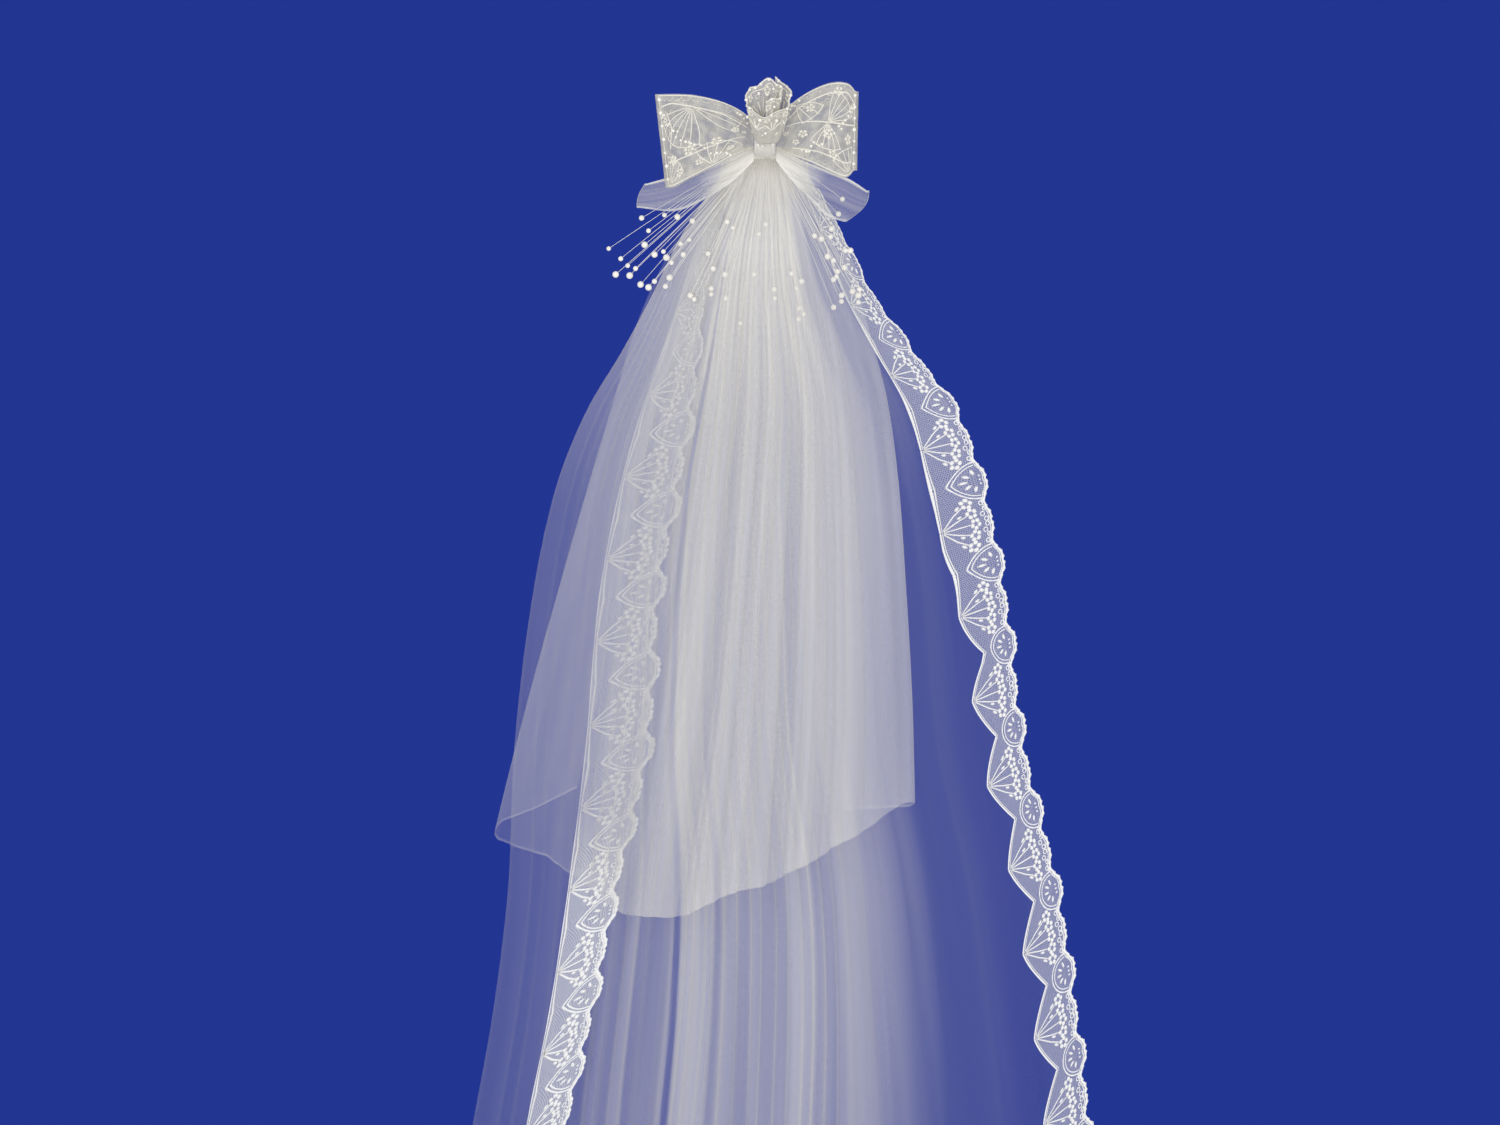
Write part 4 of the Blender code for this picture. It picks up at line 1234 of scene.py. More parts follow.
@dataclass
class LaceBand:
    """A length of galloon laid along a tier's edge: its net ground and its thread work."""

    name: str
    galloon: Galloon
    surface: Surface
    row_lengths: np.ndarray
    across_step: float
    stand_off: float = 0.0013
    veiled_above: float = 1.0
    veiled_cover: float = 0.34
    ground_share: float = 1.0
    full_until: float = -1.0
    full_fade: float = 0.12
    full_share: float = 1.0
    corner: float = 0.050
    corner_at_start: bool = False

    def _warp(self, along: np.ndarray, inward: np.ndarray, height: np.ndarray, stretch: float) -> np.ndarray:
        """Carry flat lace places onto the tier.

        Args:
            along: Flat places along the lace.
            inward: Flat places in from its outer edge's middle line.
            height: Height off the lace.
            stretch: Length on the tier of each metre of flat lace.

        Returns:
            The places on the tier.
        """
        run = self.row_lengths[0] + along * stretch
        rows = np.interp(run, self.row_lengths, np.arange(len(self.row_lengths)))
        full = np.clip((self.full_until - run) / self.full_fade, 0.0, 1.0)
        full = np.maximum(full, np.clip(1.6 - (self.row_lengths[-1] - run) / self.corner, 0.0, 1.0))
        if self.corner_at_start:
            full = np.maximum(full, np.clip(1.6 - (run - self.row_lengths[0]) / self.corner, 0.0, 1.0))
        widen = 1.0 + full * (self.full_share * self.galloon.strip / self.galloon.inner(along) - 1.0)
        inward = np.where(inward > 0.0, inward * widen, inward)
        return self.surface.read(rows, inward / self.across_step, height + self.stand_off)

    def _set_cover(self, mesh: bpy.types.Mesh, least: float, most: float) -> None:
        """Give each point its share of the finish's cover: less above the level where tulle lies over it."""
        height = mesh_places(mesh)[:, 2]
        share = np.interp(height, [self.veiled_above - 0.06, self.veiled_above], [most, least])
        mesh.attributes.new(FULLNESS, "FLOAT", "POINT").data.foreach_set("value", share.astype(np.float32))

    def make(
        self, ground: bpy.types.Material, thread: bpy.types.Material, node: str
    ) -> list[bpy.types.Object]:
        """Build the ground and the thread work.

        Args:
            ground: Material of the net.
            thread: Material of the raised work.
            node: The solid that the band stands for.

        Returns:
            The ground, then the thread work.
        """
        whole = self.row_lengths[-1] - self.row_lengths[0]
        count = round(whole / self.galloon.repeat)
        stretch = whole / (count * self.galloon.repeat)
        flat_length = count * self.galloon.repeat

        along = np.linspace(0.0, flat_length, count * 28 + 1)
        shares = np.linspace(0.0, 1.0, 13)
        outer = self.galloon.outer(along)[:, None]
        inner = self.galloon.inner(along)[:, None]
        inward = outer + (inner - outer) * shares[None, :]
        spread = np.broadcast_to(along[:, None], inward.shape)
        points = self._warp(spread, inward, np.zeros_like(inward), stretch)
        sheet = sheet_object(self.name + "_net", points, np.stack([spread, inward], axis=2), ground)

        unit = self.galloon.unit()
        shifts = [(k + 0.5) * self.galloon.repeat for k in range(count)]
        half_unit_shift = [s - self.galloon.repeat / 2 for s in shifts] + [flat_length]
        mesh = repeat_mesh(self.name + "_threads", unit, half_unit_shift)
        flat = mesh_places(mesh)
        flat[:, 0] = np.clip(flat[:, 0], 0.0, flat_length)
        flat[:, 1] = np.minimum(flat[:, 1], self.galloon.inner(flat[:, 0]) + 0.0010)
        places = self._warp(flat[:, 0], flat[:, 1], flat[:, 2], stretch)
        mesh.vertices.foreach_set("co", places.astype(np.float32).ravel())
        mesh.update()
        work = place_object(self.name + "_threads", mesh, thread)
        self._set_cover(sheet.data, 1.0, self.ground_share)
        self._set_cover(mesh, self.veiled_cover, 1.0)
        for piece in (sheet, work):
            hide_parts(node)
        self.flat_size = (float(flat_length), self.galloon.strip)
        return [sheet, work]


def side_band(name: str, tier: Tier, right: bool) -> LaceBand:
    """The galloon along one free side of the long tier.

    Args:
        name: The band's name.
        tier: The tier that carries it.
        right: Whether it is the tier's last column's side.

    Returns:
        The band, ready to make.
    """
    points = tier.points if not right else tier.points[::-1]
    strip = points[: tier.strip_steps + 1].transpose(1, 0, 2)
    edge = strip[:, 0, :]
    run = np.concatenate([[0.0], np.cumsum(np.linalg.norm(np.diff(edge, axis=0), axis=1))])
    first = int(np.searchsorted(run, LACE_START))
    facing = -1.0 if right else 1.0
    drawn_in = RIGHT_LACE_DRAWN_IN if right else LEFT_LACE_DRAWN_IN
    step = LACE_STRIP / tier.strip_steps * drawn_in
    galloon = (
        Galloon()
        if right
        else Galloon(edge_cord=0.0024, line_cord=0.0012, inner_cord=0.35, flower=0.0134)
    )
    band = LaceBand(name, galloon, Surface(strip[first:], facing), run[first:], step)
    band.ground_share = RIGHT_LACE_GROUND if right else LEFT_LACE_GROUND
    band.full_until = RIGHT_LACE_FULL_UNTIL if right else LEFT_LACE_FULL_UNTIL
    band.full_share = drawn_in * (0.985 if right else 0.90)
    if not right:
        band.veiled_above = LEFT_LACE_VEILED_ABOVE
    return band


def hem_band(name: str, tier: Tier) -> LaceBand:
    """The galloon along the long tier's hem, between its two side bands."""
    last = len(tier.points) - 1 - tier.strip_steps
    columns = tier.points[tier.strip_steps : last + 1]
    step = 0.0045
    rows = np.arange(0, 15) * step
    table = np.empty((len(columns), len(rows), 3))
    for i, column in enumerate(columns):
        up = column[::-1]
        run = np.concatenate([[0.0], np.cumsum(np.linalg.norm(np.diff(up, axis=0), axis=1))])
        for axis in range(3):
            table[i, :, axis] = np.interp(rows, run, up[:, axis])
    hem = table[:, 0, :]
    run = np.concatenate([[0.0], np.cumsum(np.linalg.norm(np.diff(hem, axis=0), axis=1))])
    band = LaceBand(name, Galloon(), Surface(table, 1.0), run, step)
    band.corner_at_start = True
    return band


class PearlString:
    """Round pearls collected into one mesh."""

    def __init__(self) -> None:
        """Start with none."""
        self.bench = bmesh.new()

    def add(self, place: Sequence[float], radius: float) -> None:
        """Add one pearl at a place."""
        bmesh.ops.create_icosphere(
            self.bench, subdivisions=2, radius=radius, matrix=Matrix.Translation(place)
        )

    def wire(self, path: np.ndarray, radius: float, sides: int = 4) -> None:
        """Add a thin wire along a path, closed at both ends."""
        ahead = np.gradient(path, axis=0)
        ahead /= np.linalg.norm(ahead, axis=1, keepdims=True)
        level = np.cross(ahead, (0.0, 1.0, 0.0))
        level /= np.maximum(np.linalg.norm(level, axis=1, keepdims=True), 1e-9)
        upright = np.cross(ahead, level)
        count = len(path)
        order = [0, *range(count), count - 1]
        made = bmesh.ops.create_grid(self.bench, x_segments=sides, y_segments=count + 1, size=1.0)["verts"]
        for n, vert in enumerate(made):
            j, i = divmod(n, sides + 1)
            k = order[j]
            angle = 2 * math.pi * (i % sides + 0.5) / sides
            size = 0.0 if j in (0, count + 1) else radius
            vert.co = Vector(path[k] + (level[k] * math.cos(angle) + upright[k] * math.sin(angle)) * size)

    def make(self, name: str, finish: bpy.types.Material) -> bpy.types.Object:
        """Join all the pearls and wires into one object."""
        bmesh.ops.remove_doubles(self.bench, verts=self.bench.verts[:], dist=1e-6)
        bmesh.ops.recalc_face_normals(self.bench, faces=self.bench.faces[:])
        mesh = bpy.data.meshes.new(name)
        self.bench.to_mesh(mesh)
        self.bench.free()
        return place_object(name, mesh, finish)


@dataclass
class Loop:
    """A hollow loop of lace or tulle: out along its front, round its outer fold and back."""

    name: str
    stations: tuple[Station, ...]
    middle_y: float
    fold_out: float
    side: float
    pleat: float
    ripples: float
    fine_ripple: float
    rounding: float = 0.0
    along_steps: int = 44
    fold_steps: int = 8
    rows: int = 28

    def __post_init__(self) -> None:
        """Work out the loop's points."""
        table = as_rows(self.stations)
        places = np.arange(len(table), dtype=float)
        at = np.linspace(0.0, len(table) - 1.0, self.along_steps + 1)
        ribs = smooth_read(places, table, at)
        share = np.linspace(0.0, 1.0, self.rows + 1)
        x = ribs[:, 0:1] + (ribs[:, 2:3] - ribs[:, 0:1]) * share
        z = ribs[:, 1:2] + (ribs[:, 3:4] - ribs[:, 1:2]) * share
        bulge = self.rounding * np.maximum(0.0, at - (len(table) - 2)) ** 2
        x = x + self.side * bulge[:, None] * np.sin(math.pi * share)
        grow = np.minimum(1.0, at)[:, None]
        ripple = self.pleat * np.sin(4 * math.pi * share)[None, :] * grow
        fine = self.fine_ripple * np.sin(2 * math.pi * self.ripples * share)[None, :] * grow
        fine = fine * (0.6 + 0.4 * np.cos(at * 1.7))[:, None]
        front_y = self.middle_y - ribs[:, 4:5] + ripple + fine
        back_y = self.middle_y + ribs[:, 4:5] + ripple + fine
        front = np.stack([x, front_y, z], axis=2)
        back = np.stack([x, back_y, z], axis=2)[::-1]
        angles = np.linspace(-math.pi / 2, math.pi / 2, self.fold_steps + 1)[1:-1]
        centre = (front[-1] + back[0]) / 2
        reach = (back[0] - front[-1]) / 2
        turn = []
        for angle in angles:
            out = np.array((self.side * self.fold_out * math.cos(angle), 0.0, 0.0))
            turn.append(centre + reach * math.sin(angle) + out)
        self.points = np.concatenate([front, np.array(turn), back])
        self.front = front
        lengths = np.linalg.norm(np.diff(self.points[:, self.rows // 2, :], axis=0), axis=1)
        across = np.concatenate([[0.0], np.cumsum(lengths)])
        down = np.linalg.norm(self.points[:, -1, :] - self.points[:, 0, :], axis=1)
        self.cloth = np.stack(
            [np.broadcast_to(across[:, None], self.points.shape[:2]), down[:, None] * share], axis=2
        )

    def make(self, finish: bpy.types.Material, cover: np.ndarray | None, slot: Slot) -> bpy.types.Object:
        """Make the loop's cloth and hide the solid it stands for."""
        made = sheet_object(self.name + "_cloth", self.points, self.cloth, finish, cover)
        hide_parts(self.name)
        return made


@dataclass(frozen=True)
class Fan:
    """Rays of thread that spread from one spot of a bow wing."""

    along: float
    down: float
    from_deg: float
    to_deg: float
    reach: float
    rays: int


@dataclass
class BowWing:
    """One lace wing of the bow, with fan embroidery and scattered pearls."""

    name: str
    stations: tuple[Station, ...]
    side: float
    seed: int
    fans: tuple[Fan, ...]
    bead_rows: tuple[tuple[tuple[float, float], ...], ...]
    flowers: tuple[tuple[float, float, float], ...]
    pearls: int = 26
    tall: float = 0.075
    small_rings: int = 30
    border_arcs: int = 13

    def make(self, ground: bpy.types.Material, thread: bpy.types.Material, pearl: bpy.types.Material) -> None:
        """Build the wing's cloth, its thread work and its pearls."""
        loop = Loop(self.name, self.stations, BOW_Y, BOW_FOLD_OUT, self.side, 0.0010, 3.0, 0.0005)
        cloth = loop.make(ground, None, Slot.BOW)
        surface = Surface(loop.front, self.side)
        rows, columns = loop.front.shape[0] - 1, loop.front.shape[1] - 1
        length = float(loop.cloth[rows, 0, 0])

        rng = np.random.default_rng(self.seed)
        mesh = self._thread_work(length, rng)
        flat = mesh_places(mesh)
        along = np.clip(flat[:, 0] / length, 0.0, 1.0) * rows
        across = np.clip(flat[:, 1] / self.tall, 0.0, 1.0) * columns
        places = surface.read(along, across, flat[:, 2] + 0.0003)
        mesh.vertices.foreach_set("co", places.astype(np.float32).ravel())
        mesh.update()
        stitched = place_object(self.name + "_threads", mesh, thread)
        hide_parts(self.name)

        string = PearlString()
        for k in range(self.pearls):
            a = 0.08 + 0.90 * ((k * 0.618 + 0.13) % 1.0)
            b = 0.04 + 0.92 * ((k * 0.382 + rng.random() * 0.10) % 1.0)
            radius = (1.5 + 0.8 * rng.random()) * MILLIMETRE
            string.add(self._spot(surface, rows * a, columns * b, radius * 0.8), radius)
        for k in range(7):
            radius = (1.6 + 0.9 * rng.random()) * MILLIMETRE
            string.add(self._spot(surface, rows * 0.99, columns * (k + 0.4) / 7, radius * 0.6), radius)
        beads = string.make(self.name + "_pearls", pearl)

    @staticmethod
    def _spot(surface: Surface, along: float, across: float, height: float) -> np.ndarray:
        """One place on the wing's front."""
        return surface.read(np.array([along]), np.array([across]), np.array([height]))[0]

    def _thread_work(self, length: float, rng: np.random.Generator) -> bpy.types.Mesh:
        """Lay out the wing's embroidery flat: outward, then down."""
        work = ThreadWork()
        self._edges(work, length)
        for fan in self.fans:
            self._rays(work, fan, length)
        for row in self.bead_rows:
            marks = np.array(row) * (length, self.tall)
            at = np.linspace(0.0, len(marks) - 1.0, 60)
            path = np.column_stack([np.interp(at, np.arange(len(marks)), marks[:, axis]) for axis in (0, 1)])
            work.cord(path, 0.0009, 4, beads=24)
        for n, (a, b, size) in enumerate(self.flowers):
            work.flower((length * a, self.tall * b), size * MILLIMETRE, 23.0 * n)
            work.bead((length * a, self.tall * b), size * 0.12 * MILLIMETRE)
        for _ in range(self.small_rings):
            spot = (length * (0.06 + 0.90 * rng.random()), self.tall * (0.07 + 0.86 * rng.random()))
            work.ring(spot, (1.6 + 0.8 * rng.random()) * MILLIMETRE, 0.00042)
        return work.finish(self.name + "_threads")

    def _edges(self, work: ThreadWork, length: float) -> None:
        """Corded top, bottom and outer edges, with a row of small arcs inside."""
        steps = np.linspace(0.0, length, 46)
        for inward in (0.0012, self.tall - 0.0012):
            work.cord(np.column_stack([steps, np.full(46, inward)]), 0.0007, 4, beads=22)
        down = np.linspace(0.001, self.tall - 0.001, 40)
        work.cord(np.column_stack([np.full(40, length - 0.001), down]), 0.0007, 4, beads=18)
        for k in range(self.border_arcs):
            middle = length * (k + 0.5) / self.border_arcs
            radius = length / self.border_arcs / 2
            work.arc((middle, 0.0020), radius, 10.0, 170.0, 0.00042, 8)
            work.arc((middle, self.tall - 0.0020), radius, 190.0, 350.0, 0.00042, 8)

    def _rays(self, work: ThreadWork, fan: Fan, length: float) -> None:
        """Bent rays from the fan's foot, with a corded rim round their ends."""
        foot = (length * fan.along, self.tall * fan.down)
        for k in range(fan.rays):
            share = k / (fan.rays - 1)
            angle = math.radians(fan.from_deg + (fan.to_deg - fan.from_deg) * share)
            path = []
            for step in np.linspace(0.05, 1.0, 9):
                turn = angle + 0.16 * math.sin(math.pi * step) * (share - 0.5)
                out = fan.reach * step
                path.append((foot[0] + out * math.cos(turn), foot[1] + out * math.sin(turn)))
            work.cord(path, 0.00052)
            work.bead(path[-1], 0.0011)
        work.arc(foot, fan.reach, fan.from_deg, fan.to_deg, 0.00058, 20)


LEFT_FANS = (
    Fan(0.60, 0.14, 20.0, 100.0, 0.036, 7),
    Fan(0.60, 0.14, 140.0, 168.0, 0.040, 3),
    Fan(0.42, 0.97, 205.0, 300.0, 0.026, 6),
    Fan(0.90, 0.97, 200.0, 275.0, 0.022, 5),
)
LEFT_BEADS = (
    ((0.97, 0.14), (0.78, 0.10), (0.60, 0.14), (0.36, 0.20), (0.10, 0.36)),
    ((0.86, 0.20), (0.80, 0.38), (0.84, 0.60)),
    ((0.12, 0.62), (0.34, 0.66), (0.60, 0.72), (0.92, 0.74)),
)
LEFT_FLOWERS = (
    (0.24, 0.46, 9.0),
    (0.40, 0.62, 10.0),
    (0.62, 0.66, 10.0),
    (0.80, 0.72, 10.0),
    (0.72, 0.88, 9.0),
    (0.52, 0.84, 8.0),
    (0.90, 0.30, 9.0),
    (0.28, 0.80, 7.0),
    (0.14, 0.50, 7.0),
)
RIGHT_FANS = (
    Fan(0.58, 0.45, -78.0, -18.0, 0.027, 6),
    Fan(0.58, 0.45, 60.0, 128.0, 0.023, 6),
    Fan(0.24, 0.10, 25.0, 75.0, 0.026, 4),
    Fan(0.88, 0.96, 200.0, 280.0, 0.020, 5),
)
RIGHT_BEADS = (
    ((0.06, 0.40), (0.30, 0.42), (0.58, 0.45), (0.98, 0.44)),
    ((0.96, 0.16), (0.80, 0.10), (0.55, 0.12), (0.30, 0.16), (0.08, 0.30)),
    ((0.20, 0.86), (0.50, 0.82), (0.92, 0.86)),
)
RIGHT_FLOWERS = (
    (0.58, 0.58, 10.0),
    (0.32, 0.60, 10.0),
    (0.84, 0.60, 10.0),
    (0.40, 0.24, 9.0),
    (0.70, 0.10, 9.0),
    (0.90, 0.26, 8.0),
    (0.64, 0.80, 9.0),
    (0.24, 0.74, 8.0),
    (0.12, 0.56, 7.0),
)


CURL_PEARLS = (
    # share along, share down, millimetres out, radius in millimetres
    (0.02, 0.02, 0.0, 1.7),
    (0.07, 0.02, 0.0, 1.5),
    (0.13, 0.02, 0.0, 1.8),
    (0.19, 0.03, 0.6, 1.5),
    (0.25, 0.30, 1.2, 1.8),
    (0.28, 0.03, 0.6, 1.6),
    (0.31, 0.62, 1.2, 1.6),
    (0.34, 0.16, 1.2, 1.9),
    (0.37, 0.48, 1.2, 1.5),
    (0.41, 0.03, 0.6, 1.7),
    (0.44, 0.30, 1.2, 1.6),
    (0.48, 0.02, 0.0, 1.8),
    (0.53, 0.02, 0.0, 1.5),
    (0.58, 0.02, 0.0, 1.9),
    (0.62, 0.02, 0.0, 1.6),
    (0.60, 0.14, -1.2, 1.7),
    (0.66, 0.26, -1.2, 1.8),
    (0.67, 0.02, 0.0, 1.8),
    (0.71, 0.12, -1.2, 1.6),
    (0.73, 0.02, 0.0, 1.5),
    (0.79, 0.02, 0.0, 1.7),
    (0.87, 0.02, 0.0, 1.5),
    (0.93, 0.20, 1.2, 1.6),
    (0.95, 0.02, 0.0, 1.7),
)


@dataclass
class Curl:
    """The standing lace curl before the knot: a strip rolled inwards, high behind and low in front."""

    turns: float = 1.45
    start_deg: float = 70.0
    mouth_radius: float = 0.0260
    foot_radius: float = 0.0110
    centre: tuple[float, float, float] = (0.0010, -0.0760, 0.0)
    flare: float = 0.55
    foot_z: float = 0.0030
    back_z: float = 0.0710
    front_z: float = 0.0300
    flat: float = 0.50
    shrink: float = 0.50
    inner_drop: float = 0.25
    inner_from: float = 0.60
    inner_rise: float = 0.0160
    tall: float = 0.050
    steps: int = 150
    rows: int = 20

    def points(self) -> np.ndarray:
        """The strip's points, from its outer end inwards, and from its rim down."""
        share = np.linspace(0.0, 1.0, self.steps + 1)[:, None]
        angle = math.radians(self.start_deg) - 2 * math.pi * self.turns * share
        shrink = 1.0 - self.shrink * share
        facing = 0.5 + 0.5 * np.sin(-angle - math.pi)
        inner = np.maximum(0.0, share - self.inner_from) / (1 - self.inner_from)
        top = self.front_z + (self.back_z - self.front_z) * facing * (1 - self.inner_drop * share)
        top = top + self.inner_rise * inner + 0.0020 * np.sin(angle * 5 + 0.6)
        height = 1 - np.linspace(0.0, 1.0, self.rows + 1)[None, :]
        radius = (self.foot_radius + (self.mouth_radius - self.foot_radius) * height**self.flare) * shrink
        crimp = 0.0009 * np.sin(angle * 11) * height
        radius = radius + crimp
        x = self.centre[0] + radius * np.cos(angle)
        y = self.centre[1] + self.flat * radius * np.sin(angle)
        z = self.foot_z + (top - self.foot_z) * height + 0 * radius
        return np.stack([x, y, z], axis=2)

    def make(self, ground: bpy.types.Material, thread: bpy.types.Material, pearl: bpy.types.Material) -> None:
        """Build the curl's cloth, its cords and the pearls on its rim."""
        points = self.points()
        run = np.linalg.norm(np.diff(points[:, 6, :], axis=0), axis=1)
        along = np.concatenate([[0.0], np.cumsum(run)])
        down = np.linspace(0.0, self.tall, self.rows + 1)
        cloth = np.stack(np.broadcast_arrays(along[:, None], down[None, :]), axis=2)
        sheet = sheet_object("bow_curl_cloth", points, cloth, ground)
        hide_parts("bow_curl")

        surface = Surface(points, 1.0)
        length = float(along[-1])
        mesh = self._thread_work(length)
        flat = mesh_places(mesh)
        rows = np.interp(flat[:, 0], along, np.arange(len(along)))
        places = surface.read(rows, flat[:, 1] / self.tall * self.rows, flat[:, 2])
        mesh.vertices.foreach_set("co", places.astype(np.float32).ravel())
        mesh.update()
        stitched = place_object("bow_curl_threads", mesh, thread)
        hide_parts("bow_curl")

        string = PearlString()
        for share, depth, out, radius in CURL_PEARLS:
            place = surface.read(
                np.array([share * self.steps]),
                np.array([depth * self.rows]),
                np.array([out * MILLIMETRE]),
            )
            string.add(place[0], radius * MILLIMETRE)
        beads = string.make("bow_curl_pearls", pearl)

    def _thread_work(self, length: float) -> bpy.types.Mesh:
        """Lay out the curl's embroidery flat: along the strip, then down from its rim."""
        work = ThreadWork()
        mm = MILLIMETRE
        steps = np.linspace(0.0, length, 150)
        work.cord(np.column_stack([steps, np.full(150, 0.6 * mm)]), 1.1 * mm, 4, beads=54)
        wave = 5.0 * mm + 1.2 * mm * np.sin(steps * 420.0)
        work.cord(np.column_stack([steps, wave]), 0.7 * mm, 4)
        count = 8
        for k in range(count):
            s = length * (k + 0.5) / count
            for turn_deg in (-38.0, -14.0, 10.0, 34.0):
                lean = math.radians(turn_deg)
                end = (s + 17.0 * mm * math.sin(lean), 30.0 * mm - 17.0 * mm * math.cos(lean))
                work.cord(
                    [(s, 30.0 * mm), ((s + end[0]) / 2 + 0.8 * mm, (30.0 * mm + end[1]) / 2), end],
                    1.05 * mm,
                )
            work.flower((s + 7.0 * mm, 9.0 * mm), 8.0 * mm, 40.0 * k)
            work.ring((s - 4.0 * mm, 9.5 * mm), 2.0 * mm, 0.5 * mm)
            work.ring((s + 9.0 * mm, 20.0 * mm), 2.2 * mm, 0.5 * mm)
            work.petal((s - 8.0 * mm, 33.0 * mm), (s - 4.0 * mm, 39.0 * mm), 2.4 * mm)
        return work.finish("bow_curl_threads")


@dataclass
class Knot:
    """The lace band wrapped round the bow's middle, with its edges turned in."""

    centre: tuple[float, float, float] = (0.0, -0.0417, 0.0035)
    size: tuple[float, float, float] = (0.0216, 0.0546, 0.0250)
    fullness: float = 0.82
    around: int = 96
    across: int = 40

    def make(self, ground: bpy.types.Material, pearl: bpy.types.Material) -> None:
        """Build the band and its few pearls."""
        points = np.empty((self.around + 1, self.across + 1, 3))
        cloth = np.empty((self.around + 1, self.across + 1, 2))
        for i in range(self.around + 1):
            angle = 2 * math.pi * i / self.around
            c, s = math.cos(angle), math.sin(angle)
            y = math.copysign(abs(c) ** self.fullness, c) * self.size[1] / 2
            z = math.copysign(abs(s) ** self.fullness, s) * self.size[2] / 2
            for j in range(self.across + 1):
                share = 2 * j / self.across - 1
                edge = max(0.0, abs(share) - 0.40) / 0.60
                x = math.copysign(min(abs(share) / 0.92, 1.0) * self.size[0] / 2, share)
                crease = 0.035 * math.sin(share * 19.0 + 0.5 * math.sin(3 * angle))
                reach = 0.95 - 0.34 * edge**1.6 + crease
                points[i, j] = (self.centre[0] + x, self.centre[1] + y * reach, self.centre[2] + z * reach)
                cloth[i, j] = (0.150 * i / self.around, 0.030 * j / self.across)
        band = sheet_object("bow_knot_cloth", points, cloth, ground)
        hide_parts("bow_knot")
        string = PearlString()
        front_y = self.centre[1] - self.size[1] / 2
        for x, z, size in ((-7.0, 2.0, 1.8), (7.5, 3.0, 1.7), (-2.5, 1.0, 1.5)):
            string.add((x * MILLIMETRE, front_y + 0.3 * MILLIMETRE, z * MILLIMETRE), size * MILLIMETRE)
        beads = string.make("bow_knot_pearls", pearl)


@dataclass
class PearlSpray:
    """A fan of thin wires with a pearl at each end, out of a small bar under the gathers."""

    name: str
    side: float
    places: tuple[PearlPlace, ...]
    bar_half_gap: float = 0.0004
    bar_long: float = 0.0190
    bar_y: float = -0.0080
    bar_depth: float = 0.0072
    bar_z: float = -0.0055
    bar_tall: float = 0.0060
    wire_radius: float = 0.00027
    pearl_growth: float = 1.12
    layer: float = 0.0013

    def make(self, finish: bpy.types.Material) -> bpy.types.Object:
        """Build the bar, the wires and the pearls as one piece."""
        depths = np.array([(0.008, -0.0084), (0.014, -0.0096), (0.018, -0.0101), (0.030, -0.0118),
                           (0.060, -0.0147), (0.100, -0.0169), (0.140, -0.0176), (0.180, -0.0180)])
        string = PearlString()
        ordered = sorted(self.places, key=lambda p: math.atan2(p.x, -p.z))
        middle_x = self.side * (self.bar_half_gap + self.bar_long / 2)
        for n, place in enumerate(ordered):
            share = (n + 0.5) / len(ordered) - 0.5
            root = np.array((middle_x + share * self.bar_long * 0.92, 0.0, self.bar_z))
            goal = np.array((place.x, 0.0, place.z)) * MILLIMETRE
            steps = np.linspace(0.0, 1.0, 9)[:, None]
            path = root + (goal - root) * steps
            layer = -1 if n % 2 else 1
            y = np.interp(-path[:, 2], depths[:, 0], depths[:, 1])
            path[:, 1] = y + layer * self.layer * np.minimum(1.0, steps[:, 0] * 4)
            string.wire(path, self.wire_radius)
            string.add(path[-1], place.diameter / 2 * MILLIMETRE * self.pearl_growth)
        bar = bmesh.ops.create_cube(string.bench, size=1.0)["verts"]
        for vert in bar:
            vert.co = Vector((middle_x + vert.co.x * self.bar_long, self.bar_y + vert.co.y * self.bar_depth,
                              self.bar_z + vert.co.z * self.bar_tall))
        made = string.make(self.name + "_beads", finish)
        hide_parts(self.name)
        return made


@dataclass
class CombStitches:
    """The thread whipped round the comb's spine, which holds the gathers to it."""

    half: float = 0.0415
    half_depth: float = 0.0021
    half_tall: float = 0.0046
    turns: int = 34
    radius: float = 0.00035

    def make(self, finish: bpy.types.Material) -> bpy.types.Object:
        """Build the whipping as one long wire."""
        per_turn = 10
        path = []
        for k in range(self.turns * per_turn + 1):
            angle = 2 * math.pi * k / per_turn
            x = -self.half + 2 * self.half * k / (self.turns * per_turn)
            c, s = math.cos(angle), math.sin(angle)
            push = 1.0 / max(abs(c), abs(s)) ** 0.7
            path.append((x, self.half_depth * c * push, self.half_tall * s * push))
        string = PearlString()
        string.wire(np.array(path), self.radius, 5)
        made = string.make("comb_whipping", finish)
        return made


